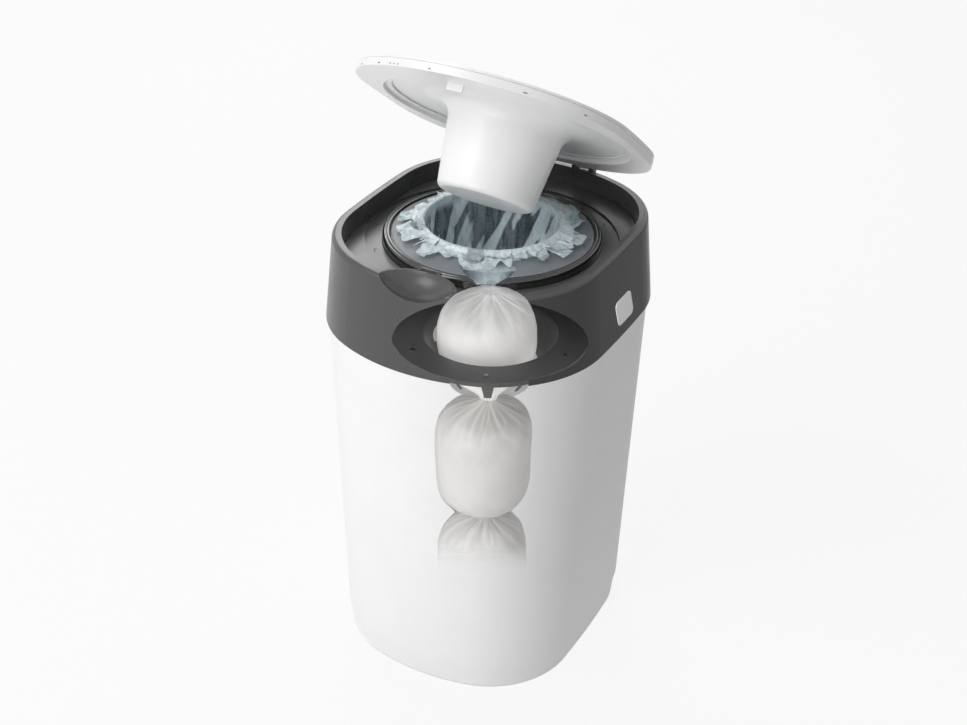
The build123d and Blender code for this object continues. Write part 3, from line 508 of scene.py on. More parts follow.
@dataclass(frozen=True)
class FilmFinish:
    """Thin icy film: pale, with slate painted shade in its folds deep in the funnel, and sea green at its
    edges.
    """

    name: str
    opacity: float
    shown: Shown = Shown.NOTHING
    outline: Outline = ()
    pale: Colour = (0.68, 0.79, 0.83, 1.0)
    slate: Colour = (0.050, 0.070, 0.080, 1.0)
    edge: Colour = (0.10, 0.34, 0.34, 1.0)
    deep_foot: float = 0.4270
    deep_top: float = 0.4380
    panel_scale: float = 60.0
    panel_lean: float = 8.0
    patch_scale: float = 30.0

    def material(self) -> Material:
        """Build the material.

        Returns:
            The material.
        """
        paint = Paint(self.name)
        # Painted shade: darker towards the bottom of the funnel, kept mostly off the half that faces the
        # viewpoint.
        deep = 1 - paint.along(UP).step(self.deep_foot, self.deep_top)
        deep = deep * (1 - 0.85 * paint.along(Viewpoint().toward()).step(0.010, 0.030))
        panel = paint.panels(self.panel_scale, self.panel_lean).step(0.485, 0.535)
        streak = paint.grain(150.0, 5.0, (1.0, 1.0, 0.12)).step(0.42, 0.66)
        crumple = paint.grain(300.0, 6.0)
        vein = 1 - (abs(paint.grain(120.0, 4.0) - 0.5) * 2.0).step(0.0, 0.09)
        tint = paint.grain(38.0, 2.0).step(0.50, 0.62)
        patch = paint.grain(self.patch_scale, 1.0).step(0.57, 0.60)
        # The slate deep in the funnel is painted shade in upright folds; elsewhere thin veins and patches
        # darken the film.
        dark = deep * (panel * 0.80 + streak * 0.20) | (vein * 0.22 | patch * 0.50) * (1 - deep)
        body = paint.blend(dark, self.pale, self.slate)
        rim = paint.marked("frayed")
        body = paint.blend(rim * tint * 0.85, body, self.edge)
        alpha = self.opacity - 0.30 * rim * crumple
        if self.shown is not Shown.NOTHING:
            alpha = alpha * (1 - ClearWindow().mask(paint, self.outline, self.shown))
        return paint.close({
            "Base Color": body,
            "Roughness": crumple * 0.3 + 0.14,
            "Normal": paint.relief(crumple * 0.6 + streak * 0.3 + vein * 0.2, 0.0013, 0.8),
            "Coat Weight": 0.35,
            "Coat Roughness": 0.12,
            "Alpha": alpha,
        })


@dataclass(frozen=True)
class WrapFinish:
    """A nappy under film: warm white, soft on its body and creased towards the twists, with painted shade
    in the creases and a painted glow.
    """

    name: str
    colour: Colour
    shade: Colour
    # Strength of the painted glow that stands in for light the wrap lacks inside the bin.
    glow: float = 0.12

    def material(self) -> Material:
        """Build the material.

        Returns:
            The material.
        """
        paint = Paint(self.name)
        soft = paint.grain(16.0, 2.0).step(0.30, 0.75)
        crumple = paint.grain(110.0, 4.0, (1.0, 1.0, 0.4))
        crease = paint.marked("crease")
        # Painted shade: the wrap darkens towards its shade colour in the creases by the twists, with some
        # soft random mottling.
        body = paint.blend(crease * 0.52 + soft * 0.20, self.colour, self.shade)
        return paint.close({
            "Base Color": body,
            "Roughness": soft * 0.15 + 0.30,
            "Normal": paint.relief(crumple, 0.0009, 0.4),
            "Coat Weight": 0.15,
            "Coat Roughness": 0.25,
            # Painted light: the wrap glows in its own colour though it is no lamp, standing in for light
            # that the walls keep out.
            "Emission Color": body,
            "Emission Strength": self.glow,
        })


@dataclass(frozen=True)
class SteelFinish:
    """Drawn wire with fine lines along it."""

    name: str
    colour: Colour = grey(0.55)

    def material(self) -> Material:
        """Build the material.

        Returns:
            The material.
        """
        paint = Paint(self.name)
        line = paint.grain(900.0, 2.0, (0.05, 1.0, 1.0))
        return paint.close({
            "Base Color": paint.blend(line, grey(0.42), self.colour),
            "Metallic": 1.0,
            "Roughness": line * 0.2 + 0.22,
            "Normal": paint.relief(line, 0.00002),
        })


# --- Mesh helpers ---


def piece(name: str, points: Sequence[Triple | Vector], faces: Sequence[Sequence[int]], body: str,
          material: Material) -> Object:
    """Make a mesh object that rides on a body.

    Args:
        name: The piece's name.
        points: Vertices in metres.
        faces: Faces as vertex indices.
        body: The body that carries it.
        material: Its finish.

    Returns:
        The object.
    """
    mesh = bpy.data.meshes.new(name)
    mesh.from_pydata([tuple(p) for p in points], [], faces)
    mesh.update()
    mesh.shade_smooth()
    mesh.materials.append(material)
    made = bpy.data.objects.new(name, mesh)
    bpy.context.scene.collection.objects.link(made)
    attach(made, body)
    return made


def grid(rows: int, columns: int, rows_close: bool, columns_close: bool) -> list[Face]:
    """Faces between rows of points.

    Args:
        rows: Number of rows.
        columns: Points in each row.
        rows_close: Whether the last row joins the first.
        columns_close: Whether each row's last point joins its first.

    Returns:
        The faces.
    """
    faces = []
    for row in range(rows if rows_close else rows - 1):
        low, high = row * columns, (row + 1) % rows * columns
        for column in range(columns if columns_close else columns - 1):
            beside = (column + 1) % columns
            faces.append((low + column, low + beside, high + beside, high + column))
    return faces


def lathe(stations: Sequence[Pair], segments: int,
          shape: Callable[[float, int, float, float], Pair],
          closed: bool = False) -> tuple[list[Triple], list[Face]]:
    """Surface turned about Z whose radius and height may vary around it.

    Args:
        stations: Radius and height of each ring.
        segments: Points in each ring.
        shape: Takes angle, ring number, radius and height; returns radius and height.
        closed: Whether the last ring joins the first.

    Returns:
        Points and faces.
    """
    points: list[Triple] = []
    for ring, (radius, height) in enumerate(stations):
        for part in range(segments):
            angle = 2 * math.pi * part / segments
            r, z = shape(angle, ring, radius, height)
            points.append((r * math.cos(angle), r * math.sin(angle), z))
    return points, grid(len(stations), segments, closed, True)


def smooth_path(knots: Sequence[Pair], steps: int) -> list[Pair]:
    """Curve through some points.

    Args:
        knots: Radius and height of each point.
        steps: Points added between neighbours.

    Returns:
        The finer list.
    """
    fine = []
    last = len(knots) - 1
    for index in range(last):
        before, start = knots[max(index - 1, 0)], knots[index]
        end, after = knots[index + 1], knots[min(index + 2, last)]
        for step in range(steps):
            t = step / steps
            fine.append(tuple(
                0.5 * (2 * b + (c - a) * t + (2 * a - 5 * b + 4 * c - d) * t * t
                       + (3 * b - a - 3 * c + d) * t ** 3)
                for a, b, c, d in zip(before, start, end, after)))
    return fine + [knots[last]]


def smooth_loop(knots: list[Pair], steps: int) -> list[Pair]:
    """Closed curve through some points, without its first point again at the end."""
    return smooth_path(knots + knots[:1], steps)[:-1]


def spaced(path: Sequence[Pair], step: float) -> list[Pair]:
    """Points at about even distances along a path.

    Args:
        path: Points in order.
        step: Distance wanted between neighbours.

    Returns:
        The new points, with both ends.
    """
    found = []
    for start, end in zip(path, path[1:]):
        parts = max(1, round(math.dist(start, end) / step))
        for part in range(parts):
            share = part / parts
            found.append((start[0] + (end[0] - start[0]) * share, start[1] + (end[1] - start[1]) * share))
    return found + [tuple(path[-1])]


def beside_axis(angle: float, reach: float, height: float) -> Vector:
    """Point at an angle round the bin's axis."""
    return Vector((math.cos(angle) * reach, math.sin(angle) * reach, height))


def ease(value: float) -> float:
    """Smooth step from 0 to 1."""
    held = max(0.0, min(1.0, value))
    return held * held * (3 - 2 * held)


def mark(made: Object, name: str, values: Sequence[float]) -> None:
    """Store one number at each point of a mesh."""
    layer = made.data.attributes.new(name, "FLOAT", "POINT")
    layer.data.foreach_set("value", values)


def fold(angle: float, count: int, phase: float) -> float:
    """Sharp fold around a ring, from -1 to 1."""
    return 1 - 2 * abs(math.sin(0.5 * (count * angle + phase))) ** 0.8


# --- Wrapped nappies ---


@dataclass
class Parcel:
    """One nappy wrapped in film, with twisted ends or a flat foot."""

    name: str
    top: float
    bottom: float
    radius: float
    flat_foot: bool = False
    in_fingers: bool = False
    seed: int = 1
    neck: float = 0.0082
    shift: float = -0.0045
    tilt: float = 0.0
    gap: float = 0.0003
    end_ease: float = 0.030
    segments: int = 300
    points: list[Triple] = field(default_factory=list)
    faces: list[Face] = field(default_factory=list)
    creases: list[float] = field(default_factory=list)

    def profile(self) -> list[Pair]:
        """Section of the parcel.

        Returns:
            Radius and height from the top twist to the bottom.
        """
        r, top, low = self.radius, self.top, self.bottom
        knots = [(0.0008, top - self.gap), (self.neck, top - 2 * self.gap), (0.30 * r, top - 0.0034),
                 (0.54 * r, top - 0.0078), (0.79 * r, top - 0.0150), (0.93 * r, top - 0.0245),
                 (0.99 * r, top - 0.036), (r, top - 0.047)]
        if self.flat_foot:
            knots += [(r, low + 0.030), (0.98 * r, low + 0.014), (0.94 * r, low + 0.005),
                      (0.82 * r, low + 0.0004), (0.4 * r, low + 0.0004), (0.001, low + 0.0004)]
        elif self.in_fingers:
            knots += [(0.99 * r, low + 0.060), (0.90 * r, low + 0.044), (0.70 * r, low + 0.0305),
                      (0.40 * r, low + 0.0150), (0.24 * r, low + 0.0065), (self.neck, low + 0.0018),
                      (0.0036, low + 0.0004)]
        else:
            knots += [(r, low + 0.060), (0.975 * r, low + 0.043), (0.90 * r, low + 0.0300),
                      (0.72 * r, low + 0.0185), (0.44 * r, low + 0.0090), (0.24 * r, low + 0.0042),
                      (self.neck, low + 0.0014), (0.0036, low + 0.0004)]
        return spaced(smooth_path(knots, 8), 0.0020)

    def model(self) -> None:
        """Work out the parcel's points, faces and creases."""
        chance = random.Random(self.seed)
        phases = [chance.uniform(0, 2 * math.pi) for _ in range(6)]
        side = Viewpoint().sideways()

        def near(height: float) -> float:
            """Closeness to a twist, from 0 to 1."""
            close = math.exp(-(self.top - height) / 0.015)
            return close if self.flat_foot else max(close, math.exp(-(height - self.bottom) / 0.014))

        def pleat(angle: float, height: float) -> float:
            """Creases that fan out from the twists.

            Args:
                angle: Angle round the parcel.
                height: Height in metres.

            Returns:
                Depth of the crease, from about -1 to 1.
            """
            wind = 30 * min(self.top - height, height - self.bottom + (1.0 if self.flat_foot else 0.0))
            wander = 0.5 * noise.noise(beside_axis(angle, 2, height * 30))
            return 0.5 * (fold(angle + wander - 0.6 * wind, 9, phases[0])
                          + 0.6 * fold(angle - wander + 0.4 * wind, 14, phases[1])
                          + 0.4 * fold(angle - 0.5 * wind, 23, phases[2]))

        def shape(angle: float, _ring: int, radius: float, height: float) -> Pair:
            """Pleats near the twists and soft bulges between them.

            Args:
                angle: Angle round the axis.
                _ring: The ring's number, not used.
                radius: The ring's radius.
                height: The ring's height.

            Returns:
                Radius and height of the point.
            """
            spot = beside_axis(angle, 1.1, height * 20 + self.seed)
            share = min(1.0, radius / (0.5 * self.radius))
            deep = 0.0021 * near(height) * (pleat(angle, height) - 0.8)
            swell = radius + share * (0.0020 * (noise.noise(spot) - 0.4) + deep)
            return max(0.0004, min(swell, self.radius)), height

        path = self.profile()
        points, self.faces = lathe(path, self.segments, shape)
        self.points, self.creases = [], []
        foot_ease = 0.001 if self.flat_foot else self.end_ease
        for x, y, z in points:
            body = ease((self.top - z) / self.end_ease) * ease((z - self.bottom) / foot_ease)
            across = x * side[0] + y * side[1]
            lean = self.tilt * across * body * ease((z - self.bottom) / 0.06)
            self.points.append((x + side[0] * self.shift * body, y + side[1] * self.shift * body,
                                min(z + lean, self.top - self.gap)))
            # How deep each point sits in a crease, kept for the painted shade in the wrap's material.
            depth = max(0.0, -pleat(math.atan2(y, x), z)) * min(1.0, 1.6 * near(z))
            self.creases.append(min(1.0, 1.3 * depth))
        self.faces.append(tuple(range(self.segments)))
        self.faces.append(tuple(reversed(range(len(points) - self.segments, len(points)))))

    def build(self, finish: Material) -> None:
        """Make the parcel and let it replace its solid.

        Args:
            finish: Material of the wrap.
        """
        made = piece(self.name + "_wrapped", self.points, self.faces, "top_unit", finish)
        mark(made, "crease", self.creases)
        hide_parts(self.name)


@dataclass
class ParcelString:
    """The three parcels that hang from the film."""

    parcels: list[Parcel] = field(default_factory=lambda: [
        Parcel("parcel_upper", 0.3652, 0.246, 0.0488, in_fingers=True, seed=3, neck=0.0090, shift=-0.003),
        Parcel("parcel_middle", 0.246, 0.108, 0.0495, seed=8, tilt=0.07),
        Parcel("parcel_lower", 0.108, 0.0059, 0.0475, flat_foot=True, seed=12, shift=-0.0035)])
    colour: Colour = (0.87, 0.855, 0.84, 1.0)
    shade: Colour = (0.50, 0.49, 0.46, 1.0)
    # Strengths of the wraps' painted glow; it is stronger on the upper parcel, which sits in shade inside
    # the gripper.
    glow: float = 0.04
    upper_painted_glow: float = 0.35
    margin: float = 0.0006
    step: float = 0.0040

    def model(self) -> None:
        """Work out all three."""
        for parcel in self.parcels:
            parcel.model()

    def outline(self) -> Outline:
        """Outline of the whole string from the viewpoint.

        Returns:
            Heights and reach to the left and right.
        """
        view = Viewpoint()
        reach: dict[int, list[float]] = {}
        for parcel in self.parcels:
            for point in parcel.points:
                side, height = view.on_plane(point)
                row = reach.setdefault(round(height / self.step), [0.0, 0.0])
                row[0], row[1] = max(row[0], -side), max(row[1], side)
        rows = []
        for row in range(max(reach) + 1):
            left, right = reach.get(row, (0.0, 0.0))
            rows.append((row * self.step, max(0.0, left - self.margin), max(0.0, right - self.margin)))
        return tuple(rows)

    def build(self) -> None:
        """Make all three; the upper one, deep in the gripper, gets a stronger painted glow that stands in
        for the light it lacks there.
        """
        for parcel in self.parcels:
            glow = self.upper_painted_glow if parcel.in_fingers else self.glow
            parcel.build(WrapFinish("wrap_" + parcel.name, self.colour, self.shade, glow).material())
            LOG.info("parcel %s wrapped", parcel.name)


# --- Film ---


@dataclass
class Film:
    """The film: gathered in the cassette, drawn over its lip and down to the first twist."""

    lip_radius: float = 0.0626
    lip_height: float = 0.4396
    wall: float = 0.0018
    pack_top: float = 0.4190
    foot: float = 0.3685
    neck_height: float = 0.3612
    neck_radius: float = 0.0105
    throat_radius: float = 0.0621
    throat_foot: float = 0.377
    cone_radius: float = 0.0660
    pack_foot: float = 0.3836
    pack_inner: float = 0.0650
    pack_outer: float = 0.0866
    pack_middle: Pair = (0.075, 0.400)
    frayed_reach: float = 0.088
    cover_top: float = 0.4331
    cover_edge: float = 0.0726
    cover_slope: float = 0.16
    layer_reach: tuple[float, ...] = (0.0105, 0.0220)
    drape_segments: int = 360
    pack_segments: int = 540
    pack_pleats: int = 90
    layer_segments: int = 720
    layer_rings: int = 13
    tears: tuple[int, ...] = (7, 11)
    drape_fullness: float = 1.3
    flap_fullness: float = 1.2
    seed: int = 5

    def funnel_knots(self) -> list[Pair]:
        """Section of the drawn film.

        Returns:
            Radius and height from the slot, over the lip and down to the twist.
        """
        lip = self.lip_radius
        return [
            (lip + 0.0030, self.pack_top), (lip + 0.0030, 0.4300), (lip + 0.0027, 0.4365),
            (lip + 0.0009, self.lip_height - 0.0004), (lip - 0.0010, 0.4375),
            (lip - 0.0040, 0.4236), (lip - 0.0070, 0.4100), (lip - 0.0090, 0.3996),
            (lip - 0.0122, 0.3805), (lip - 0.0158, 0.3718), (lip - 0.0236, 0.3662),
            (0.45 * lip, 0.3650), (0.26 * lip, 0.3640), (self.neck_radius + 0.001, 0.3630),
            (self.neck_radius, self.neck_height + 0.0006)]

    def build_funnel(self, finish: Material) -> None:
        """Pleated film between the cassette's slot and the first twist.

        Args:
            finish: Material of the film.
        """
        chance = random.Random(self.seed)
        phases = [chance.uniform(0, 2 * math.pi) for _ in range(8)]
        path = smooth_path(self.funnel_knots(), 7)
        lip_ring = max(range(len(path)), key=lambda i: path[i][1])

        def shape(angle: float, ring: int, radius: float, height: float) -> Pair:
            """Long drapes that deepen below the lip and gather at the twist.

            Args:
                angle: Angle round the axis.
                ring: The ring's number.
                radius: The ring's radius.
                height: The ring's height.

            Returns:
                Radius and height of the point.
            """
            if ring < lip_ring:
                ripple = 0.0003 * fold(angle, 40, phases[0])
                return radius + ripple + 0.0002, height
            fall = (self.lip_height - height) / (self.lip_height - self.foot)
            lean = 0.5 * fall
            drape = (0.50 * fold(angle + lean, 7, phases[1])
                     + 0.42 * fold(angle - 0.7 * lean, 11, phases[2])
                     + 0.30 * fold(angle, 19, phases[3]) + 0.14 * fold(angle + lean, 37, phases[4]))
            crush = noise.noise(beside_axis(angle, 4, 30 * height))
            room = min(1.0, 0.15 + 2.2 * fall) if height > self.foot + 0.004 else radius / 0.062
            sway = max(0.0004, 0.0036 + 0.0026 * (drape + 0.5 * crush))
            wave = 0.0009 * fold(angle, 13, phases[5]) * max(0.0, 1 - 6 * fall)
            limit = self.throat_radius if height > self.throat_foot else self.cone_radius
            return min(radius + room * sway, limit), height + wave - 0.0006 * max(0.0, 1 - 6 * fall)

        points, faces = lathe(path, self.drape_segments, shape)
        made = piece("film_drape", points, faces, "carrier", finish)
        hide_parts("film_funnel")

    def torn_layer(self, layer: int) -> tuple[list[Triple], list[Face], list[float]]:
        """One layer of film that lies outward from the lip, with a torn edge.

        Args:
            layer: 0 for the upper, shorter layer; 1 for the lower, longer one.

        Returns:
            Points, faces and each point's share of the way to the torn edge.
        """
        chance = random.Random(self.seed + 4 + layer)
        offset = Vector((7.3 * layer, 2.1, self.seed))
        tears = [(chance.uniform(0, 2 * math.pi), chance.uniform(0.03, 0.09), chance.uniform(0.5, 0.95))
                 for _ in range(self.tears[layer])]
        rings = self.layer_rings
        usual, longest = self.layer_reach[layer], self.frayed_reach - self.lip_radius
        points: list[Triple] = []
        shares: list[float] = []
        for part in range(self.layer_segments):
            angle = 2 * math.pi * part / self.layer_segments
            spot = beside_axis(angle, 1, 0.0)
            sheet = noise.noise(spot * 2.3 + offset) * 1.5 + noise.noise(spot * 6.0 + offset) * 0.8
            rag = noise.noise(spot * 26.0 + offset) * 0.0012
            reach = usual * (1 + sheet) + rag
            for place, half, depth in tears:
                away = abs((angle - place + math.pi) % (2 * math.pi) - math.pi)
                reach *= 1 - depth * max(0.0, 1 - away / half)
            reach = max(0.0022, min(reach, longest))
            for ring in range(rings + 1):
                share = ring / rings
                out = share * reach
                r = self.lip_radius + out
                swing = angle + 0.10 * share * noise.noise(spot * 5.0 + offset)
                there = beside_axis(angle, r, 0.02 * layer)
                fine = 1 - 2.6 * abs(noise.noise(there * 130))
                ridge = 1 - 2.6 * abs(noise.noise(there * 48)) + 0.35 * fine
                slope = self.cover_slope * max(0.0, r - self.cover_edge)
                rest = self.cover_top - slope + 0.0009 + 0.0010 * (1 - layer)
                fall = ease(out / (0.0065 - 0.002 * layer))
                height = (self.lip_height - 0.0004 * layer) * (1 - fall) + rest * fall
                height += 0.0023 * max(0.0, ridge) * min(1.0, out / 0.003)
                height = min(height, self.lip_height + 0.0006)
                points.append((r * math.cos(swing), r * math.sin(swing), height))
                shares.append(ease((out - 0.45 * usual) / (0.9 * usual)))
        return points, grid(self.layer_segments, rings + 1, True, False), shares

    def build_frayed_edge(self, finish: Material) -> None:
        """Torn film that lies outward on the cassette.

        Args:
            finish: Material of the film.
        """
        points: list[Triple] = []
        faces: list[Face] = []
        shares: list[float] = []
        for layer in range(len(self.layer_reach)):
            base = len(points)
            more, sides, outer = self.torn_layer(layer)
            points += more
            shares += outer
            faces += [tuple(base + index for index in side) for side in sides]
        made = piece("film_flaps", points, faces, "carrier", finish)
        mark(made, "frayed", shares)

    def build_pack(self, finish: Material) -> None:
        """Film packed in tight pleats inside the cassette.

        Args:
            finish: Material of the film.
        """
        low, high = self.pack_foot, self.pack_top
        inner, outer = self.pack_inner, self.pack_outer
        knots = [(inner, low + 0.004), (inner, high - 0.003), (inner + 0.003, high), (outer - 0.003, high),
                 (outer - 0.0002, high - 0.003), (outer - 0.0018, low + 0.004), (outer - 0.004, low),
                 (inner + 0.003, low)]

        def shape(angle: float, _ring: int, radius: float, height: float) -> Pair:
            """Close small pleats that stay inside the tray.

            Args:
                angle: Angle round the axis.
                _ring: The ring's number, not used.
                radius: The ring's radius.
                height: The ring's height.

            Returns:
                Radius and height of the point.
            """
            ripple = 0.0007 * (fold(angle + 30 * height, self.pack_pleats, 0.4) - 1)
            outward = 1 if radius > self.pack_middle[0] else -1
            upward = 1 if height > self.pack_middle[1] else -1
            return radius + outward * ripple * 0.8, height + 0.4 * ripple * upward

        points, faces = lathe(smooth_loop(knots, 4), self.pack_segments, shape, closed=True)
        made = piece("film_gathered", points, faces, "carrier", finish)
        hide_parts("film_pack")


# --- Turning ring ---


@dataclass
class RingBead:
    """Glossy double bead on the turning ring, close around the cassette.

    Its rounded top is in drops: share of the width inward, and metres below the crest.
    """

    outer: float = 0.1009
    inner: float = 0.0938
    foot: float = 0.4222
    crest: float = 0.4290
    drops: tuple[Pair, ...] = ((0.0, 0.0034), (0.13, 0.0016), (0.32, 0.0006), (0.46, 0.0015),
                               (0.60, 0.0004), (0.80, 0.0), (0.96, 0.0010), (1.0, 0.0030))
    segments: int = 240

    def build(self, finish: Material) -> None:
        """Add the bead as one piece.

        Args:
            finish: Material of the bead.
        """
        wide = self.outer - self.inner
        section = [(self.outer, self.foot)]
        section += [(self.outer - share * wide, self.crest - drop) for share, drop in self.drops]
        section.append((self.inner, self.foot))
        points, faces = lathe(smooth_loop(section, 4), self.segments,
                              lambda _angle, _ring, radius, height: (radius, height), closed=True)
        piece("ring_bead", points, faces, "carrier", finish)


# --- Button springs ---


@dataclass
class ButtonSpring:
    """Return spring of one release button."""

    side: str
    turns: float = 4.0
    wire: float = 0.00045
    travel: float = 0.0035
    steps: int = 160
    around: int = 10

    def build(self, finish: Material) -> None:
        """Wind the wire in the place of its solid.

        Args:
            finish: Material of the wire.
        """
        node = self.side + "_button_spring"
        low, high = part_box(node)
        middle, length = (low + high) / 2, high.x - low.x
        reach = (high.y - low.y) / 2 - self.wire
        points: list[Vector] = []
        for step in range(self.steps + 1):
            share = step / self.steps
            turn = 2 * math.pi * self.turns * share
            outward = Vector((0.0, math.cos(turn), math.sin(turn)))
            along = low.x + self.wire + (length - 2 * self.wire) * share
            heart = outward * reach + Vector((along, middle.y, middle.z))
            for part in range(self.around):
                angle = 2 * math.pi * part / self.around
                ahead = Vector((self.wire * math.sin(angle), 0.0, 0.0))
                points.append(heart + outward * self.wire * math.cos(angle) + ahead)
        faces = grid(self.steps + 1, self.around, False, True)
        faces.append(tuple(reversed(range(self.around))))
        faces.append(tuple(range(self.steps * self.around, len(points))))
        made = piece(node + "_wound", points, faces, "top_unit", finish)
        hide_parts(node)
        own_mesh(made)


# --- Small marks ---


@dataclass
class DeckMarks:
    """Near-black L-shaped marks of painted shade where small angled slots sit around the deck."""

    radius: float = 0.1105
    height: float = 0.4195
    angles: tuple[float, ...] = (15, 45, 75, 105, 135, 165, 195, 222, 250, 322, 350)
    length: float = 0.0062
    leg: float = 0.0030
    width: float = 0.0008
    rise: float = 0.00012
    sink: float = 0.0002

    def build(self, finish: Material) -> None:
        """Add the marks as one piece.

        Args:
            finish: Material of the dark slots.
        """
        points: list[Vector] = []
        faces: list[Face] = []
        outline = [(0, 0), (self.length, 0), (self.length, self.width), (self.width, self.width),
                   (self.width, self.leg), (0, self.leg)]
        for angle in self.angles:
            turn = Matrix.Rotation(math.radians(angle), 3, "Z")
            base = len(points)
            for lift in (-self.sink, self.rise):
                points += [turn @ Vector((self.radius - y, x - self.length / 2, self.height + lift))
                           for x, y in outline]
            size = len(outline)
            faces.append(tuple(base + size + i for i in range(size)))
            for i in range(size):
                j = (i + 1) % size
                faces.append((base + i, base + j, base + size + j, base + size + i))
        # Painted shade: flat dark marks in place of the slots' openings.
        made = piece("deck_marks", points, faces, "top_unit", finish)
        made.data.shade_flat()


@dataclass
class LidMarks:
    """Grey marks of painted shade where small snap windows sit in the skirt of the lid."""

    spots: tuple[Pair, ...] = ((-118.0, 3.2), (-112.0, 1.5), (-110.2, 1.5), (-108.4, 1.5), (-95.0, 2.6),
                               (-131.0, 2.6), (-62.0, 3.6), (-40.0, 3.0), (-150.0, 3.0))
    wide: float = 0.1265
    deep: float = 0.1455
    power: float = 2.6
    forward: float = -0.003
    low: float = 0.4420
    high: float = 0.4430
    proud: float = 0.00015
    start_away: float = 0.05

    def edge(self, angle: float) -> Vector:
        """Point of the closed lid's outline.

        Args:
            angle: Its direction from the middle.

        Returns:
            The point, at height 0.
        """
        direction = Vector((math.cos(angle), math.sin(angle)))
        size = ((abs(direction.x) / self.wide) ** self.power
                + (abs(direction.y) / self.deep) ** self.power) ** (-1 / self.power)
        return Vector((direction.x * size, direction.y * size + self.forward, 0.0))

    def build(self, liner: Object, finish: Material) -> None:
        """Add the marks as one piece, laid on the skirt.

        Args:
            liner: The lid's underside, whose skirt carries them.
            finish: Material of the dark slots.
        """
        swing = (Matrix.Translation(HINGE_LINE) @ Matrix.Rotation(-LID_ANGLE, 4, "X")
                 @ Matrix.Translation(Vector(HINGE_LINE) * -1))
        points: list[Vector] = []
        faces: list[Face] = []
        for degrees, size in self.spots:
            angle = math.radians(degrees)
            aim = self.edge(angle)
            outward = beside_axis(angle, 1, 0.0)
            found = []
            for shift in (-size * MM / 2, size * MM / 2):
                for z in (self.low, self.high):
                    side = Vector((-outward.y, outward.x, 0.0)) * shift
                    start = swing @ (aim + side + outward * self.start_away + Vector((0, 0, z)))
                    ray = (swing.to_3x3() @ (outward * -1)).normalized()
                    hit, place, normal, _ = liner.ray_cast(start, ray)
                    if hit:
                        found.append(place + normal * self.proud)
            if len(found) == 4:
                base = len(points)
                points += found
                faces.append((base, base + 2, base + 3, base + 1))
        # Painted shade: flat grey patches in place of the snap windows' openings.
        made = piece("lid_snap_windows", points, faces, "lid", finish)
        made.data.shade_flat()


# --- Rigid parts ---


@dataclass
class Shell:
    """The rigid plastic parts of the bin and their finishes."""

    outline: Outline
    white: float = 0.86
    dark: float = 0.062

    def finishes(self) -> dict[PlasticFinish, tuple[str, ...]]:
        """Choose the finishes.

        Returns:
            Each finish and the parts that have it.
        """
        windowed = {"shown": Shown.EVERYTHING, "outline": self.outline}
        return {
            PlasticFinish("white_tub", grey(self.white), 0.38, **windowed): ("tub",),
            PlasticFinish("white_lid", grey(self.white), 0.33, 1800.0, 0.00002): (
                "lid_liner", "lid_cover", "dial_plunger", "dial_cap"),
            PlasticFinish("white_button", grey(self.white * 1.08), 0.36): (
                "left_release_button", "right_release_button"),
            PlasticFinish("grey_collar", grey(self.dark, -0.015), 0.29, 1300.0, 0.00004, **windowed): (
                "collar_shell",),
            PlasticFinish("grey_deck", grey(self.dark * 1.15, -0.03), 0.30, 1300.0, 0.00003, **windowed): (
                "top_deck", "click_pawl", "gripper_struts"),
            # The gripper's grey is the collar's made 1.8 times lighter: painted light that makes up for the
            # shade it sits in inside the bin.
            PlasticFinish("grey_gripper", grey(self.dark * 1.8), 0.36, 1300.0, 0.00003): (
                "gripper_ring",),
            PlasticFinish("black_ring", grey(0.010), 0.15, 1300.0, 0.00001, coat=0.6, **windowed): (
                "carrier_ring",),
            PlasticFinish("clear_cassette", grey(0.26, -0.07), 0.30, 900.0, 0.00002, shine=0.25,
                          opacity=0.75, **windowed): ("cassette_tub", "cassette_cover"),
        }

    def dress(self, nodes: dict[str, Object]) -> dict[str, Material]:
        """Give every rigid part its finish.

        Args:
            nodes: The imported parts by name.

        Returns:
            The materials by the names of their finishes.
        """
        made = {}
        for finish, names in self.finishes().items():
            made[finish.name] = finish.material()
            for name in names:
                self.set_finish(nodes[name], made[finish.name])
                LOG.info("%s finished in %s", name, finish.name)
        return made

    @staticmethod
    def set_finish(node: Object, material: Material) -> None:
        """Put one material on a part.

        Args:
            node: The part.
            material: Its material.
        """
        if not node.material_slots:
            node.data.materials.append(material)
        for slot in node.material_slots:
            slot.material = material


# --- Studio ---


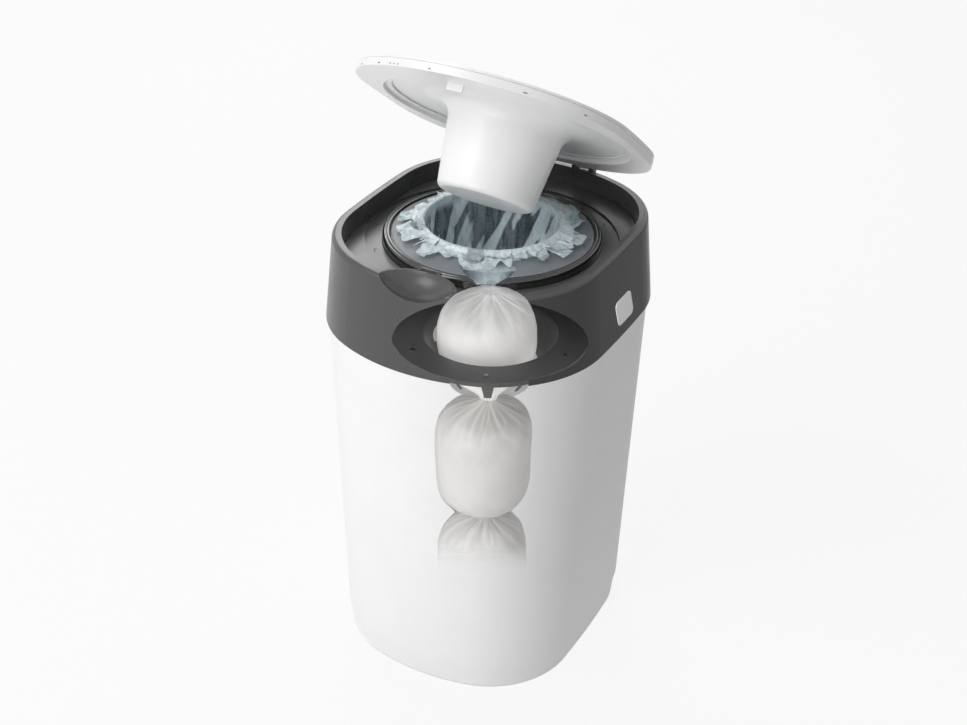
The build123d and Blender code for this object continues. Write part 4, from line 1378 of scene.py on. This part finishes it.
@dataclass
class Studio:
    """Pale floor, soft lamps and the camera."""

    view: Viewpoint = Viewpoint()
    floor_size: float = 80.0
    world_strength: float = 0.42
    world_mirrored: float = 1.1
    layers_seen_through: int = 64
    floor_seen: float = 0.86
    floor_dim: float = 0.10
    dim_share: float = 0.75
    dim_from: float = -0.10
    dim_to: float = 0.35
    aim_height: float = 0.28
    lamps: tuple[tuple[str, Triple, float, float], ...] = (
        ("key", (-1.3, -1.7, 2.3), 1.5, 30.0), ("foot", (-0.35, -2.45, 0.55), 1.2, 19.0),
        ("back", (-1.32, 1.76, 1.77), 1.3, 16.0))

    def build(self) -> None:
        """Set up everything around the bin."""
        self._floor()
        self._world()
        for lamp in self.lamps:
            self._lamp(*lamp)
        self._camera()
        scene = bpy.context.scene
        scene.view_settings.view_transform = "Standard"
        scene.cycles.transparent_max_bounces = self.layers_seen_through

    def _floor(self) -> None:
        """White floor that keeps the bin's shadow, dimmer in what the bin mirrors on its right."""
        half = self.floor_size / 2
        mesh = bpy.data.meshes.new("studio_floor")
        corners = [(-half, -half, 0), (half, -half, 0), (half, half, 0), (-half, half, 0)]
        mesh.from_pydata(corners, [], [(0, 1, 2, 3)])
        floor = bpy.data.objects.new("studio_floor", mesh)
        bpy.context.scene.collection.objects.link(floor)
        paint = Paint("studio_white")
        plain = paint.node("ShaderNodeBsdfDiffuse", {}, {"Color": grey(self.floor_seen)})
        dim = paint.node("ShaderNodeBsdfDiffuse", {}, {"Color": grey(self.floor_dim)})
        glow = paint.node("ShaderNodeEmission", {}, {"Color": grey(1.0), "Strength": 1.0})
        path = paint.node("ShaderNodeLightPath")
        seen, mirrored = (Level(paint, path.outputs[name]) for name in ("Is Camera Ray", "Is Glossy Ray"))
        right = paint.along((1.0, 0.0, 0.0)).step(self.dim_from, self.dim_to)
        lightest = paint.node("ShaderNodeMixShader", {}, {0: (seen | mirrored) * self.floor_seen,
                                                          1: plain.outputs[0], 2: glow.outputs[0]})
        mixed = paint.node("ShaderNodeMixShader", {}, {0: mirrored * right * self.dim_share,
                                                       1: lightest.outputs[0], 2: dim.outputs[0]})
        paint.node("ShaderNodeOutputMaterial", {}, {"Surface": mixed.outputs[0]})
        mesh.materials.append(paint.holder)

    def _world(self) -> None:
        """Soft even light from all round, white where it is seen."""
        paint = Paint("studio_world", for_world=True)
        bpy.context.scene.world = paint.holder
        path = paint.node("ShaderNodeLightPath")
        surface = self._glow(paint, self.world_strength)
        for ray, strength in (("Is Glossy Ray", self.world_mirrored), ("Is Camera Ray", 1.0)):
            mix = paint.node("ShaderNodeMixShader", {}, {0: path.outputs[ray], 1: surface,
                                                         2: self._glow(paint, strength)})
            surface = mix.outputs[0]
        paint.node("ShaderNodeOutputWorld", {}, {"Surface": surface})

    @staticmethod
    def _glow(paint: Paint, strength: float) -> NodeSocket:
        """White background of one strength."""
        return paint.node("ShaderNodeBackground", {}, {"Color": grey(1.0), "Strength": strength}).outputs[0]

    def _lamp(self, name: str, place: Triple, size: float, power: float) -> None:
        """Add one square soft lamp aimed at the bin.

        Args:
            name: The lamp's name.
            place: Its middle.
            size: Its side in metres.
            power: Its power in watts.
        """
        data = bpy.data.lights.new(name, "AREA")
        data.shape, data.size, data.energy = "SQUARE", size, power
        lamp = bpy.data.objects.new(name, data)
        lamp.location = place
        aim = Vector((0.0, 0.0, self.aim_height)) - Vector(place)
        lamp.rotation_euler = aim.to_track_quat("-Z", "Y").to_euler()
        bpy.context.scene.collection.objects.link(lamp)

    def _camera(self) -> None:
        """Place the camera at the viewpoint."""
        data = bpy.data.cameras.new("camera")
        data.sensor_width, data.lens = 36.0, self.view.lens
        data.shift_x, data.shift_y = self.view.shift
        camera = bpy.data.objects.new("camera", data)
        camera.location = self.view.place
        camera.rotation_mode = "QUATERNION"
        tilt = self.view.tilt
        ahead = Vector(self.view.toward()) * math.cos(tilt) + Vector((0, 0, math.sin(tilt)))
        camera.rotation_quaternion = ((ahead * -1).to_track_quat("-Z", "Y")
                                      @ Quaternion((0, 0, 1), self.view.roll))
        bpy.context.scene.collection.objects.link(camera)
        bpy.context.scene.camera = camera


def main() -> None:
    """Dress the bin, build its soft pieces and light it."""
    logging.basicConfig(level=logging.INFO, format="%(message)s")
    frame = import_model()
    nodes = frame["nodes"]
    string = ParcelString()
    string.model()
    outline = string.outline()
    plastics = Shell(outline).dress(nodes)
    steel = SteelFinish("steel_wire").material()
    for name in ("gripper_screws", "hinge_pins"):
        Shell.set_finish(nodes[name], steel)
        LOG.info("%s finished in steel", name)
    for side in ("left", "right"):
        ButtonSpring(side).build(steel)
        LOG.info("%s button's spring wound", side)
    string.build()
    film = Film()
    film.build_funnel(FilmFinish("film_drawn", 0.97, Shown.PARCELS, outline).material())
    film.build_frayed_edge(FilmFinish("film_torn", 0.92, pale=(0.72, 0.82, 0.86, 1.0)).material())
    film.build_pack(FilmFinish("film_packed", 0.95, Shown.EVERYTHING, outline).material())
    LOG.info("film drawn over the cassette")
    RingBead().build(plastics["black_ring"])
    LOG.info("bead laid on the turning ring")
    DeckMarks().build(PlasticFinish("dark_slot", grey(0.01), 0.5, mottle=0.2).material())
    shaded = PlasticFinish("shaded_slot", grey(0.22), 0.5, mottle=0.2)
    LidMarks().build(nodes["lid_liner"], shaded.material())
    LOG.info("small marks added")
    Studio().build()


if __name__ == "__main__":
    main()
